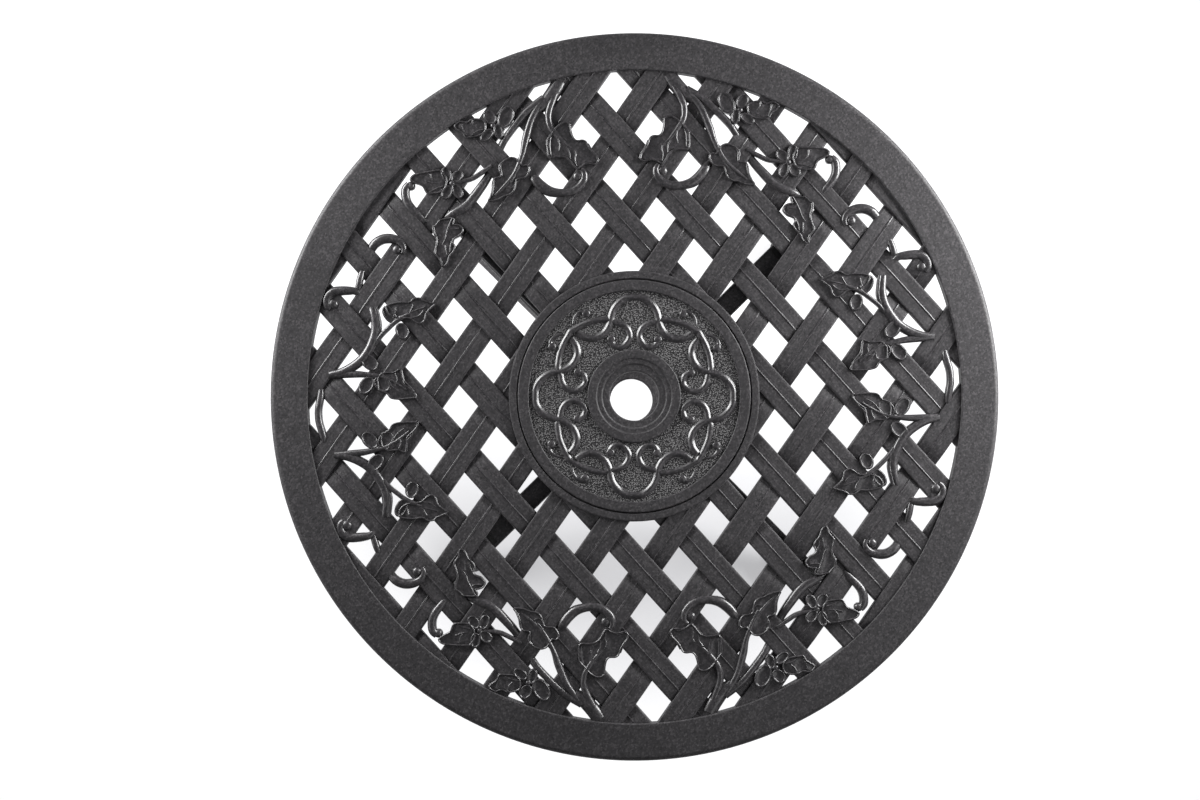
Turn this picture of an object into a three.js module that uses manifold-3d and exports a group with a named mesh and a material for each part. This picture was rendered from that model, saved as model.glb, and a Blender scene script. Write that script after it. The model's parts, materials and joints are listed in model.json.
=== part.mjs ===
// Round cast-metal umbrella table with a woven lattice top.
// Millimetres, +Z up, origin on the floor below the centre of the pole hole.
import * as THREE from 'three';
import { mergeVertices } from 'three/addons/utils/BufferGeometryUtils.js';
import Module from 'manifold-3d';

const wasm = await Module();
wasm.setup();

// Overall sizes
const table_diameter = 610;
const table_height = 540;
const pole_bore = 41;
const seat_gap = 0.3;
const cut_overrun = 2;
const casting_twist_degrees = 4;
const leg_bearings_degrees = { ne: 45, nw: 135, sw: 225, se: 315 };

// Rim of the tabletop casting
const rim_width = 31.5;
const rim_drop = 20;
const rim_plate = 6;
const rim_skirt = 5;
const rim_lip_drop = 13;
const rim_lip = 5;
const rim_round = 4;
const rim_segments = 72;

// Woven lattice
const cell_half_width = 29.25;
const cell_half_depth = 36.8;
const slat_width = 22.5;
const slat_thickness = 4.5;
const back_offset = 1;
const weave_drop = 5;
const lattice_sink = 2.5;
const crossing_flat = 47;
const stem_sink = 0.8;

// Hub seat in the tabletop casting
const seat_outer_radius = 103.5;
const seat_sink = 0.5;
const seat_chamfer = 1;
const ledge_width = 12.3;
const ledge_thickness = 5;
const hub_segments = 48;
const small_segments = 12;

// Medallion
const medallion_radius = 96;
const medallion_border = 8;
const medallion_thickness = 8.7;
const medallion_field_sink = 3.5;
const collar_radius = 38;
const collar_step_radius = 32;
const collar_step_drop = 1.5;
const collar_lip_radius = 26.5;
const collar_lip_drop = 1.5;
const medallion_boss_radius = 9;
const relief_height = 2;
const relief_width = 4.4;
const relief_sink = 0.4;
const relief_root = 0.5;

// Legs
const leg_width = 18;
const leg_chamfer = 2;
const arm_depth = 15;
const shank_depth = 17;
const waist_depth = 22;
const foot_depth = 19;
const shoulder_radius = 214;
const foot_radius = 236;
const waist_height = 265;
const hub_pad_radius = 13;
const hub_pad_thickness = 10;
const waist_pad_height = 30;
const foot_boss_radius = 16;
const foot_boss_height = 27;

// Lower pole ring
const ring_wall = 14;
const ring_height = 26;
const ring_lug_reach = 48;
const ring_lug_width = 18;
const ring_lug_height = 22;
const ring_chamfer = 2;
const ring_segments = 28;

// Screws and washers
const screw_radius = 4;
const screw_hole_clearance = 0.4;
const screw_head_across = 13;
const screw_head_height = 5.3;
const screw_segments = 10;
const washer_radius = 8;
const washer_thickness = 1.6;
const hub_screw_radius = 70;
const hub_screw_bite = 8.6;
const ring_screw_bite = 12;
const thread_bottom_gap = 0.5;

// Levelling glides
const glide_radius = 15;
const glide_thickness = 7;
const glide_round = 2.5;
const glide_spigot = 4;
const glide_collar_across = 13;
const glide_collar_height = 4.5;
const glide_stud_length = 20;
const insert_wall = 1.8;
const insert_length = 14;

// Bumper strips between the arms and the lattice
const bumper_length = 34;
const bumper_width = 13;
const bumper_start_radius = 168;

// Finishes
const powder_coat = { color: 0x3b3939, roughness: 0.5, metalness: 0.35 };
const zinc = { color: 0x9a9ca0, roughness: 0.35, metalness: 0.9 };
const brass = { color: 0xa98a4e, roughness: 0.4, metalness: 0.9 };
const nylon = { color: 0x1b1b1c, roughness: 0.6, metalness: 0 };
const rubber = { color: 0x141414, roughness: 0.85, metalness: 0 };

// Levels and radii that follow
const table_radius = table_diameter / 2;
const bore_radius = pole_bore / 2;
const lattice_radius = table_radius - rim_width;
const lattice_top = table_height - lattice_sink;
const lattice_bottom = lattice_top - weave_drop - slat_thickness;
const seat_top = table_height - seat_sink;
const ledge_top = table_height - medallion_thickness - seat_gap;
const ledge_bottom = ledge_top - ledge_thickness;
const arm_top = ledge_bottom - seat_gap;
const medallion_bottom = table_height - medallion_thickness;
const medallion_field = table_height - medallion_field_sink;
const seat_inner_radius = medallion_radius + seat_gap;
const ledge_inner_radius = seat_inner_radius - ledge_width;
const screw_hole_radius = screw_radius + screw_hole_clearance;
const waist_inner_radius = ring_lug_reach + seat_gap;
const waist_outer_radius = waist_inner_radius + waist_depth;
const collar_bottom = glide_thickness + seat_gap;
const foot_bottom = collar_bottom + glide_collar_height + seat_gap;

function material(finish, name) {
  const made = new THREE.MeshStandardMaterial(finish);
  made.name = name;
  return made;
}

function named(name, geometry, finish) {
  const mesh = new THREE.Mesh(geometry, material(finish, name));
  mesh.name = name;
  return mesh;
}

function signedVolume(geometry) {
  const place = geometry.attributes.position;
  const index = geometry.index;
  const corners = [new THREE.Vector3(), new THREE.Vector3(), new THREE.Vector3()];
  let volume = 0;
  for (let face = 0; face < index.count; face += 3) {
    corners.forEach((corner, side) => corner.fromBufferAttribute(place, index.getX(face + side)));
    volume += corners[0].dot(corners[1].clone().cross(corners[2]));
  }
  return volume;
}

// A closed geometry with shared corners and its faces pointing out
function closed(geometry) {
  const bare = geometry.clone();
  bare.deleteAttribute('normal');
  bare.deleteAttribute('uv');
  const merged = mergeVertices(bare);
  if (signedVolume(merged) < 0) {
    merged.index.array.reverse();
  }
  return merged;
}

function solid(geometry) {
  const merged = closed(geometry);
  const vertProperties = new Float32Array(merged.attributes.position.array);
  const triVerts = new Uint32Array(merged.index.array);
  return new wasm.Manifold(new wasm.Mesh({ numProp: 3, vertProperties, triVerts }));
}

function shell(body) {
  const mesh = body.getMesh();
  const geometry = new THREE.BufferGeometry();
  geometry.setAttribute('position', new THREE.BufferAttribute(mesh.vertProperties, 3));
  geometry.setIndex(new THREE.BufferAttribute(mesh.triVerts, 1));
  geometry.computeVertexNormals();
  return geometry;
}

function joined(bodies) {
  return bodies.reduce((whole, body) => whole.add(body));
}

// A profile of [radius, height] pairs turned about the vertical axis
function turned(profile, segments) {
  const points = profile.map(([radius, height]) => new THREE.Vector2(radius, height));
  points.push(points[0].clone());
  const geometry = new THREE.LatheGeometry(points, segments);
  geometry.rotateX(Math.PI / 2);
  return geometry;
}

function upright(radius, low, high, segments) {
  const geometry = new THREE.CylinderGeometry(radius, radius, high - low, segments);
  geometry.rotateX(Math.PI / 2);
  geometry.translate(0, 0, (low + high) / 2);
  return geometry;
}

// An outline in plan raised between two heights
function plate(outline, low, high) {
  const shape = new THREE.Shape(outline);
  const geometry = new THREE.ExtrudeGeometry(shape, { depth: high - low, bevelEnabled: false });
  geometry.translate(0, 0, low);
  return geometry;
}

// The outline of a strip that follows a route, with a half-width at each point
function ribbon(route, halves) {
  const left = [];
  const right = [];
  route.forEach((point, at) => {
    const before = route[Math.max(at - 1, 0)];
    const after = route[Math.min(at + 1, route.length - 1)];
    const along = after.clone().sub(before).normalize();
    const side = new THREE.Vector2(-along.y, along.x).multiplyScalar(halves[at]);
    left.push(point.clone().add(side));
    right.push(point.clone().sub(side));
  });
  return left.concat(right.reverse());
}

// Tabletop casting

// One slat: a flat-backed bar along its line, its top dipping below every second neighbour
function slat(start, step, back, over_at_even) {
  const pitch = step.length();
  const reach = lattice_radius + pitch;
  const middle = -start.dot(step) / pitch;
  const bar = new THREE.BoxGeometry(reach * 2, slat_width, lattice_top - back);
  bar.translate(middle, 0, (lattice_top + back) / 2);
  const opening = (pitch - crossing_flat / 2) * (1 + cut_overrun / weave_drop);
  const dip_shape = new THREE.Shape([
    new THREE.Vector2(-opening, lattice_top + cut_overrun),
    new THREE.Vector2(0, lattice_top - weave_drop),
    new THREE.Vector2(opening, lattice_top + cut_overrun),
  ]);
  const dip = new THREE.ExtrudeGeometry(dip_shape, { depth: slat_width * 2, bevelEnabled: false });
  dip.rotateX(Math.PI / 2);
  dip.translate(0, slat_width, 0);
  const bearing = Math.atan2(step.y, step.x);
  const placed = (geometry) => solid(geometry.rotateZ(bearing).translate(start.x, start.y, 0));
  const first = Math.floor((middle - reach) / pitch);
  let body = placed(bar);
  for (let crossing = first; (crossing - 1) * pitch < middle + reach; crossing += 1) {
    if ((crossing % 2 === 0) !== over_at_even) {
      body = body.subtract(placed(dip.clone().translate(crossing * pitch, 0, 0)));
    }
  }
  return body;
}

function lattice() {
  const pitch = Math.hypot(cell_half_width, cell_half_depth);
  const spacing = 2 * cell_half_width * cell_half_depth / pitch;
  const last = Math.floor((lattice_radius + slat_width / 2) / spacing);
  const rising = new THREE.Vector2(cell_half_width, cell_half_depth);
  const falling = new THREE.Vector2(-cell_half_width, cell_half_depth);
  const slats = [];
  for (let line = -last; line <= last; line += 1) {
    const even = line % 2 === 0;
    slats.push(slat(falling.clone().multiplyScalar(line), rising, lattice_bottom, !even));
    slats.push(slat(rising.clone().multiplyScalar(line), falling, lattice_bottom + back_offset, even));
  }
  return joined(slats);
}

// Vine ornament, drawn in one quarter and mirrored into four, in shares of the lattice radius
const stem_shares = [
  { route: [[0.172, 0.973], [0.203, 0.93], [0.24, 0.895]], halves: [0.022, 0.024, 0.016] },
  {
    route: [[0.22, 0.93], [0.278, 0.888], [0.38, 0.75], [0.424, 0.676], [0.475, 0.618], [0.56, 0.58]],
    halves: [0.012, 0.011, 0.011, 0.014, 0.015, 0.003],
  },
  {
    route: [[0.22, 0.93], [0.26, 0.87], [0.296, 0.76], [0.351, 0.673]],
    halves: [0.011, 0.011, 0.007, 0.004],
  },
  {
    route: [[0.18, 0.945], [0.208, 0.87], [0.183, 0.786], [0.135, 0.739]],
    halves: [0.011, 0.01, 0.007, 0.003],
  },
  {
    route: [[0.282, 0.709], [0.222, 0.646], [0.171, 0.634], [0.121, 0.66], [0.115, 0.7]],
    halves: [0.01, 0.012, 0.011, 0.01, 0.012],
  },
  {
    route: [[0.614, 0.581], [0.657, 0.635], [0.655, 0.692]],
    halves: [0.01, 0.011, 0.012],
  },
  {
    route: [[0.826, 0.373], [0.78, 0.496], [0.741, 0.525], [0.69, 0.505]],
    halves: [0.008, 0.012, 0.012, 0.014],
  },
  {
    route: [[0.918, 0.124], [0.856, 0.144], [0.799, 0.201], [0.777, 0.271], [0.797, 0.336],
      [0.886, 0.373], [0.92, 0.335]],
    halves: [0.007, 0.014, 0.014, 0.013, 0.012, 0.012, 0.014],
  },
  {
    route: [[0.914, 0.124], [0.768, 0.108], [0.695, 0.064]],
    halves: [0.007, 0.008, 0.003],
  },
  {
    route: [[0.691, 0.282], [0.742, 0.252], [0.812, 0.163]],
    halves: [0.006, 0.006, 0.006],
  },
  { route: [[0.399, 0.728], [0.51, 0.689]], halves: [0.005, 0.006] },
];
const bow_shares = {
  route: [[0.952, 0.085], [0.966, 0.036], [0.966, -0.036], [0.952, -0.085]],
  halves: [0.012, 0.012, 0.012, 0.012],
};
const leaf_shares = [
  [[0.144, 0.846], [0.133, 0.801], [0.099, 0.79], [0.066, 0.731], [0.128, 0.704], [0.168, 0.742],
    [0.216, 0.746], [0.219, 0.801], [0.19, 0.837], [0.165, 0.852]],
  [[0.313, 0.75], [0.344, 0.753], [0.369, 0.728], [0.388, 0.691], [0.41, 0.622], [0.358, 0.635],
    [0.322, 0.662], [0.307, 0.687], [0.278, 0.702], [0.278, 0.728]],
  [[0.402, 0.87], [0.446, 0.88], [0.483, 0.874], [0.501, 0.858], [0.468, 0.823], [0.42, 0.826]],
  [[0.548, 0.73], [0.62, 0.723], [0.646, 0.706], [0.61, 0.684], [0.585, 0.657], [0.547, 0.662],
    [0.53, 0.687]],
  [[0.561, 0.578], [0.584, 0.556], [0.576, 0.516], [0.584, 0.474], [0.562, 0.431], [0.537, 0.461],
    [0.518, 0.49], [0.518, 0.517], [0.494, 0.539], [0.525, 0.556], [0.525, 0.58]],
  [[0.588, 0.32], [0.629, 0.34], [0.662, 0.34], [0.698, 0.333], [0.742, 0.318], [0.702, 0.282],
    [0.644, 0.261], [0.618, 0.289]],
  [[0.782, 0.073], [0.753, 0.05], [0.724, 0.034], [0.664, 0.038], [0.687, 0.071], [0.702, 0.113],
    [0.709, 0.129], [0.764, 0.121]],
];
const flower_shares = [[0.517, 0.684], [0.38, 0.854], [0.702, 0.281], [0.795, 0.11]];
const flower_size_share = 0.047;
const petal_count = 4;
const petal_notch_share = 0.62;

function quarterPlace(across, away) {
  return ([x, y]) => new THREE.Vector2(x * across, y * away).multiplyScalar(lattice_radius);
}

function stemOutline({ route, halves }, place) {
  return ribbon(route.map(place), halves.map((half) => half * lattice_radius));
}

function flowerOutline(centre) {
  const outline = [];
  for (let step = 0; step < petal_count * 2; step += 1) {
    const angle = Math.PI * step / petal_count;
    const reach = flower_size_share * lattice_radius * (step % 2 === 1 ? petal_notch_share : 1);
    outline.push(new THREE.Vector2(Math.cos(angle), Math.sin(angle)).multiplyScalar(reach).add(centre));
  }
  return outline;
}

function vines() {
  const bottom = lattice_top - weave_drop;
  const bodies = [];
  const raise = (outline, sink) => bodies.push(solid(plate(outline, bottom + sink, table_height - sink)));
  for (const across of [1, -1]) {
    for (const away of [1, -1]) {
      const place = quarterPlace(across, away);
      stem_shares.forEach((stem) => raise(stemOutline(stem, place), stem_sink));
      leaf_shares.forEach((outline) => raise(outline.map(place), 0));
      flower_shares.forEach((flower) => raise(flowerOutline(place(flower)), stem_sink / 2));
    }
    raise(stemOutline(bow_shares, quarterPlace(across, 1)), 0);
  }
  return joined(bodies);
}

function rim() {
  const inner = lattice_radius;
  const profile = [
    [table_radius, table_height - rim_round],
    [table_radius, table_height - rim_drop],
    [table_radius - rim_skirt, table_height - rim_drop],
    [table_radius - rim_skirt, table_height - rim_plate],
    [inner + rim_lip, table_height - rim_plate],
    [inner + rim_lip, table_height - rim_lip_drop],
    [inner, table_height - rim_lip_drop],
    [inner, table_height],
    [table_radius - rim_round, table_height],
  ];
  return solid(turned(profile, rim_segments));
}

function hubSeat() {
  const profile = [
    [seat_outer_radius, ledge_bottom],
    [seat_outer_radius, seat_top - seat_chamfer],
    [seat_outer_radius - seat_chamfer, seat_top],
    [seat_inner_radius, seat_top],
    [seat_inner_radius, ledge_top],
    [ledge_inner_radius, ledge_top],
    [ledge_inner_radius, ledge_bottom],
  ];
  return solid(turned(profile, hub_segments));
}

function tabletop() {
  const low = lattice_bottom - cut_overrun;
  const high = table_height + cut_overrun;
  const round = solid(upright(lattice_radius + rim_lip / 2, low, high, rim_segments));
  const hub_hole = solid(upright((seat_outer_radius + seat_inner_radius) / 2, low, high, hub_segments));
  const web = lattice().add(vines()).intersect(round).subtract(hub_hole);
  return shell(rim().add(hubSeat()).add(web));
}

// Medallion

// The scroll relief in one eighth, as shares of the medallion radius
const lobe_shares = [[0, 0.864], [0.116, 0.833], [0.189, 0.742], [0.23, 0.597], [0.307, 0.517],
  [0.407, 0.501], [0.518, 0.571]];
const scroll_shares = [[0.211, 0.49], [0.177, 0.44], [0.109, 0.428], [0.051, 0.49], [0.085, 0.604],
  [0.239, 0.666], [0.353, 0.654], [0.559, 0.559]];
const comma_shares = [[0.429, 0.723], [0.51, 0.712], [0.536, 0.61]];

function reliefLine(points) {
  const route = points.map(([x, y]) => new THREE.Vector2(x, y).multiplyScalar(medallion_radius));
  return ribbon(route, route.map(() => relief_width / 2));
}

function mirroredTail(points, swap) {
  return points.slice(0, -1).reverse().map(swap);
}

function relief() {
  const over_diagonal = ([x, y]) => [y, x];
  const over_axis = ([x, y]) => [-x, y];
  const lobe = lobe_shares.slice().reverse().concat(lobe_shares.slice(1).map(over_axis));
  const scroll = scroll_shares.concat(mirroredTail(scroll_shares, over_diagonal));
  const commas = [comma_shares, comma_shares.map(over_diagonal)];
  const bodies = [];
  for (let quarter = 0; quarter < 4; quarter += 1) {
    for (const line of [lobe, scroll, ...commas]) {
      const top = medallion_field + relief_height - (line === lobe ? 0 : relief_sink);
      const root = line === lobe ? relief_root : relief_root * 2;
      const rib = plate(reliefLine(line), medallion_field - root, top);
      rib.rotateZ(quarter * Math.PI / 2);
      bodies.push(solid(rib));
    }
  }
  return joined(bodies);
}

function medallion() {
  const border_inner = medallion_radius - medallion_border;
  const profile = [
    [medallion_radius, medallion_bottom],
    [medallion_radius, table_height],
    [border_inner, table_height],
    [border_inner, medallion_field],
    [collar_radius, medallion_field],
    [collar_radius, table_height],
    [collar_step_radius, table_height],
    [collar_step_radius, table_height - collar_step_drop],
    [collar_lip_radius, table_height - collar_step_drop],
    [bore_radius, table_height - collar_step_drop - collar_lip_drop],
    [bore_radius, medallion_bottom],
  ];
  const disc = solid(turned(profile, hub_segments)).add(relief());
  const boss_low = ledge_bottom + seat_gap;
  const screw_end = arm_top + hub_screw_bite + thread_bottom_gap;
  let whole = disc;
  for (const degrees of Object.values(leg_bearings_degrees)) {
    const angle = THREE.MathUtils.degToRad(degrees);
    const x = hub_screw_radius * Math.cos(angle);
    const y = hub_screw_radius * Math.sin(angle);
    const boss = upright(medallion_boss_radius, boss_low, medallion_bottom + seat_gap, small_segments);
    const hole = upright(screw_hole_radius, boss_low - cut_overrun, screw_end, screw_segments);
    whole = whole.add(solid(boss.translate(x, y, 0))).subtract(solid(hole.translate(x, y, 0)));
  }
  return shell(whole);
}

// Legs: drawn in the upright plane through the table's axis, x outwards

const arm_middle = arm_top - arm_depth / 2;
const waist_middle_radius = (waist_inner_radius + waist_outer_radius) / 2;
const shoulder_height = arm_middle - arm_depth * 2;
const waist_top = waist_height + waist_pad_height / 2;
const waist_bottom = waist_height - waist_pad_height / 2;
const upper_rise = shoulder_height - waist_top;
const upper_flare = shoulder_radius - waist_middle_radius;
const lower_flare = foot_radius - waist_middle_radius;
const lower_drop = waist_bottom - foot_bottom;
const shoulder_shares = [[0.8, 1, 0], [0.95, 0.72, 0.2], [1, 0, 0.6]];
const upper_shares = [[0.93, 0.77], [0.7, 0.56], [0.4, 0.35], [0.14, 0.15]];
const lower_shares = [[0.11, 0.22], [0.33, 0.48], [0.58, 0.72], [0.82, 0.87]];

function legRoute() {
  const arm_start = hub_screw_radius;
  const span = shoulder_radius - arm_start;
  const drop = arm_middle - shoulder_height;
  const route = [[arm_start, arm_middle, arm_depth]];
  for (const [out, high, blend] of shoulder_shares) {
    const depth = THREE.MathUtils.lerp(arm_depth, shank_depth, blend);
    route.push([arm_start + span * out, shoulder_height + drop * high, depth]);
  }
  for (const [out, high] of upper_shares) {
    route.push([waist_middle_radius + upper_flare * out, waist_top + upper_rise * high, shank_depth]);
  }
  route.push([waist_middle_radius, waist_top, shank_depth]);
  route.push([waist_middle_radius, waist_bottom, shank_depth]);
  for (const [out, low] of lower_shares) {
    route.push([waist_middle_radius + lower_flare * out, waist_bottom - lower_drop * low, shank_depth]);
  }
  route.push([foot_radius, foot_bottom + foot_boss_height / 2, foot_depth]);
  return route;
}

function legSolid() {
  const route = legRoute();
  const line = route.map(([radius, height]) => new THREE.Vector2(radius, height));
  const outline = ribbon(line, route.map(([, , depth]) => depth / 2 - leg_chamfer));
  const bar = new THREE.ExtrudeGeometry(new THREE.Shape(outline), {
    depth: leg_width - leg_chamfer * 2,
    bevelEnabled: true,
    bevelThickness: leg_chamfer,
    bevelSize: leg_chamfer,
    bevelSegments: 1,
  });
  bar.translate(0, 0, leg_chamfer - leg_width / 2);
  bar.rotateX(Math.PI / 2);
  const hub_pad = upright(hub_pad_radius, arm_top - hub_pad_thickness, arm_top, small_segments);
  hub_pad.translate(hub_screw_radius, 0, 0);
  const waist_pad = new THREE.BoxGeometry(waist_depth, leg_width, waist_pad_height);
  waist_pad.translate(waist_middle_radius, 0, waist_height);
  const foot = upright(foot_boss_radius, foot_bottom, foot_bottom + foot_boss_height, small_segments);
  foot.translate(foot_radius, 0, 0);
  return joined([bar, hub_pad, waist_pad, foot].map(solid));
}

function radialRod(radius, from, to, height, segments) {
  const rod = new THREE.CylinderGeometry(radius, radius, to - from, segments);
  rod.rotateZ(-Math.PI / 2);
  rod.translate((from + to) / 2, 0, height);
  return rod;
}

function leg() {
  const below = arm_top - arm_depth - cut_overrun;
  const above = arm_top + cut_overrun;
  const hub_hole = upright(screw_hole_radius, below, above, screw_segments);
  hub_hole.translate(hub_screw_radius, 0, 0);
  const spot = upright(hub_pad_radius, below, arm_top - hub_pad_thickness, small_segments);
  spot.translate(hub_screw_radius, 0, 0);
  const waist_from = waist_inner_radius - cut_overrun;
  const waist_to = waist_outer_radius + cut_overrun;
  const waist_hole = radialRod(screw_hole_radius, waist_from, waist_to, waist_height, screw_segments);
  const insert_bore = screw_radius + screw_hole_clearance + insert_wall + seat_gap;
  const socket_top = collar_bottom + glide_collar_height + glide_stud_length + thread_bottom_gap;
  const insert_top = foot_bottom + insert_length + seat_gap;
  const insert_hole = upright(insert_bore, foot_bottom - cut_overrun, insert_top, small_segments);
  const stud_hole = upright(screw_hole_radius, foot_bottom, socket_top, screw_segments);
  insert_hole.translate(foot_radius, 0, 0);
  stud_hole.translate(foot_radius, 0, 0);
  const cuts = [hub_hole, spot, waist_hole, insert_hole, stud_hole].map(solid);
  return shell(cuts.reduce((body, cut) => body.subtract(cut), legSolid()));
}

// Lower pole ring

function poleRing() {
  const outer = bore_radius + ring_wall;
  const low = waist_height - ring_height / 2;
  const high = waist_height + ring_height / 2;
  const profile = [
    [outer, low + ring_chamfer],
    [outer, high - ring_chamfer],
    [outer - ring_chamfer, high],
    [bore_radius, high],
    [bore_radius, low],
    [outer - ring_chamfer, low],
  ];
  let whole = solid(turned(profile, ring_segments));
  const lug_start = outer - ring_wall / 2;
  const lug = new THREE.BoxGeometry(ring_lug_reach - lug_start, ring_lug_width, ring_lug_height);
  lug.translate((ring_lug_reach + lug_start) / 2, 0, waist_height);
  const hole_from = ring_lug_reach - ring_screw_bite - thread_bottom_gap;
  const hole_to = ring_lug_reach + cut_overrun;
  const hole = radialRod(screw_hole_radius, hole_from, hole_to, waist_height, screw_segments);
  for (const degrees of Object.values(leg_bearings_degrees)) {
    const angle = THREE.MathUtils.degToRad(degrees);
    whole = whole.add(solid(lug.clone().rotateZ(angle)));
    whole = whole.subtract(solid(hole.clone().rotateZ(angle)));
  }
  return shell(whole);
}

// Screws, washers, glides and bumpers, each standing upright on the axis

function hexPrism(across, low, high) {
  return upright(across / Math.sqrt(3), low, high, 6);
}

// A hex screw with its head's underside at height zero, pointing up
function screw(length) {
  const head = solid(hexPrism(screw_head_across, -screw_head_height, 0));
  const shank = solid(upright(screw_radius, -screw_head_height / 2, length, screw_segments));
  return shell(head.add(shank));
}

// A flat washer with its lower face at height zero
function washer() {
  const profile = [
    [washer_radius, 0],
    [washer_radius, washer_thickness],
    [screw_hole_radius, washer_thickness],
    [screw_hole_radius, 0],
  ];
  return closed(turned(profile, small_segments));
}

function glideBase() {
  const pocket_radius = screw_radius + seat_gap;
  const pocket_floor = glide_thickness - glide_spigot - seat_gap;
  const points = [
    [0, 0],
    [glide_radius - glide_round, 0],
    [glide_radius, glide_round],
    [glide_radius, glide_thickness - glide_round],
    [glide_radius - glide_round, glide_thickness],
    [pocket_radius, glide_thickness],
    [pocket_radius, pocket_floor],
    [0, pocket_floor],
  ].map(([radius, height]) => new THREE.Vector2(radius, height));
  return closed(new THREE.LatheGeometry(points, small_segments).rotateX(Math.PI / 2));
}

function glideStud() {
  const collar_top = collar_bottom + glide_collar_height;
  const collar = solid(hexPrism(glide_collar_across, collar_bottom, collar_top));
  const low = glide_thickness - glide_spigot;
  const stud = solid(upright(screw_radius, low, collar_top + glide_stud_length, screw_segments));
  return shell(collar.add(stud));
}

function footInsert() {
  const outer = screw_hole_radius + insert_wall;
  const profile = [
    [outer, foot_bottom],
    [outer, foot_bottom + insert_length],
    [screw_hole_radius, foot_bottom + insert_length],
    [screw_hole_radius, foot_bottom],
  ];
  return closed(turned(profile, small_segments));
}

function bumper() {
  const low = arm_top + seat_gap;
  const high = lattice_bottom - seat_gap;
  const strip = new THREE.BoxGeometry(bumper_length, bumper_width, high - low);
  strip.translate(bumper_start_radius + bumper_length / 2, 0, (low + high) / 2);
  return closed(strip);
}

// Assembly

const table = new THREE.Group();

const casting = new THREE.Group();
casting.rotation.z = THREE.MathUtils.degToRad(casting_twist_degrees);
casting.add(named('tabletop_casting', tabletop(), powder_coat));
table.add(casting);

table.add(named('hub_medallion', medallion(), powder_coat));
table.add(named('lower_pole_ring', poleRing(), powder_coat));

for (const [side, degrees] of Object.entries(leg_bearings_degrees)) {
  const quarter = new THREE.Group();
  quarter.rotation.z = THREE.MathUtils.degToRad(degrees);
  quarter.add(named(`leg_${side}`, leg(), powder_coat));
  quarter.add(named(`top_bumper_${side}`, bumper(), rubber));

  const pad_bottom = arm_top - hub_pad_thickness;
  const hub_washer = named(`hub_washer_${side}`, washer(), zinc);
  hub_washer.position.set(hub_screw_radius, 0, pad_bottom - seat_gap - washer_thickness);
  const hub_head_face = pad_bottom - seat_gap * 2 - washer_thickness;
  const hub_screw = named(`hub_screw_${side}`, screw(arm_top + hub_screw_bite - hub_head_face), zinc);
  hub_screw.position.set(hub_screw_radius, 0, hub_head_face);
  quarter.add(hub_washer, hub_screw);

  const ring_washer = named(`ring_washer_${side}`, washer(), zinc);
  ring_washer.rotation.y = -Math.PI / 2;
  ring_washer.position.set(waist_outer_radius + seat_gap + washer_thickness, 0, waist_height);
  const ring_head_face = waist_outer_radius + seat_gap * 2 + washer_thickness;
  const ring_screw_length = ring_head_face - ring_lug_reach + ring_screw_bite;
  const ring_screw = named(`ring_screw_${side}`, screw(ring_screw_length), zinc);
  ring_screw.rotation.y = -Math.PI / 2;
  ring_screw.position.set(ring_head_face, 0, waist_height);
  quarter.add(ring_washer, ring_screw);

  const insert = named(`foot_insert_${side}`, footInsert(), brass);
  const glide_base = named(`glide_base_${side}`, glideBase(), nylon);
  const glide_stud = named(`glide_stud_${side}`, glideStud(), zinc);
  for (const piece of [insert, glide_base, glide_stud]) {
    piece.position.x = foot_radius;
    quarter.add(piece);
  }
  table.add(quarter);
}

export default table;
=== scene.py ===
"""Looks for a round cast garden umbrella table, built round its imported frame.

Shapes are drawn in millimetres, in the table's own frame, and become metres when they are finished.
"""

from __future__ import annotations

import json
import logging
import math
from collections.abc import Callable, Iterable, Sequence
from dataclasses import dataclass, field, replace
from enum import Enum

import bmesh
import bpy
from mathutils import Matrix, Vector

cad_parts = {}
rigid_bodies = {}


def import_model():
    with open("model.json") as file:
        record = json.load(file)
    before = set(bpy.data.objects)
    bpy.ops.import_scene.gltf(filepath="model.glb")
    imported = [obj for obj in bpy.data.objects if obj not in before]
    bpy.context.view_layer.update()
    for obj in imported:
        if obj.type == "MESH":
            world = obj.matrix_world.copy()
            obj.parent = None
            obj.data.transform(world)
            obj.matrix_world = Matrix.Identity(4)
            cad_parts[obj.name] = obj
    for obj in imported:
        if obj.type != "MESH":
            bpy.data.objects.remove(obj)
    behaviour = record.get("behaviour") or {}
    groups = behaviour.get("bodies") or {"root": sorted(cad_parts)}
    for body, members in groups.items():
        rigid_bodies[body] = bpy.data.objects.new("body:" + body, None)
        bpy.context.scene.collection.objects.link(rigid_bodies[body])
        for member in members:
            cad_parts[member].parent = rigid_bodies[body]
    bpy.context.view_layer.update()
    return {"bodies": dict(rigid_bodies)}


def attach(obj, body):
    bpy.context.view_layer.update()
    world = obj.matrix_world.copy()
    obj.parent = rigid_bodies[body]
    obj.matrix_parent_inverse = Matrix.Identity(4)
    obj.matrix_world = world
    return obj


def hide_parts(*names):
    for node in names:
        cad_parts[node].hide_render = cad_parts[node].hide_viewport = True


LOG = logging.getLogger("umbrella_table")
METRES = 0.001
FULL_TURN = 2 * math.pi
UP = Vector((0.0, 0.0, 1.0))

Pair = tuple[float, float]
Triple = tuple[float, float, float]


class Corner(Enum):
    """The four legs, by the bearing of each in degrees."""

    NE = 45
    NW = 135
    SW = 225
    SE = 315

    @property
    def tag(self) -> str:
        """The end of this corner's node names."""
        return self.name.lower()

    @property
    def turn(self) -> float:
        """The bearing in radians."""
        return math.radians(self.value)


# Shader building


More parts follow.
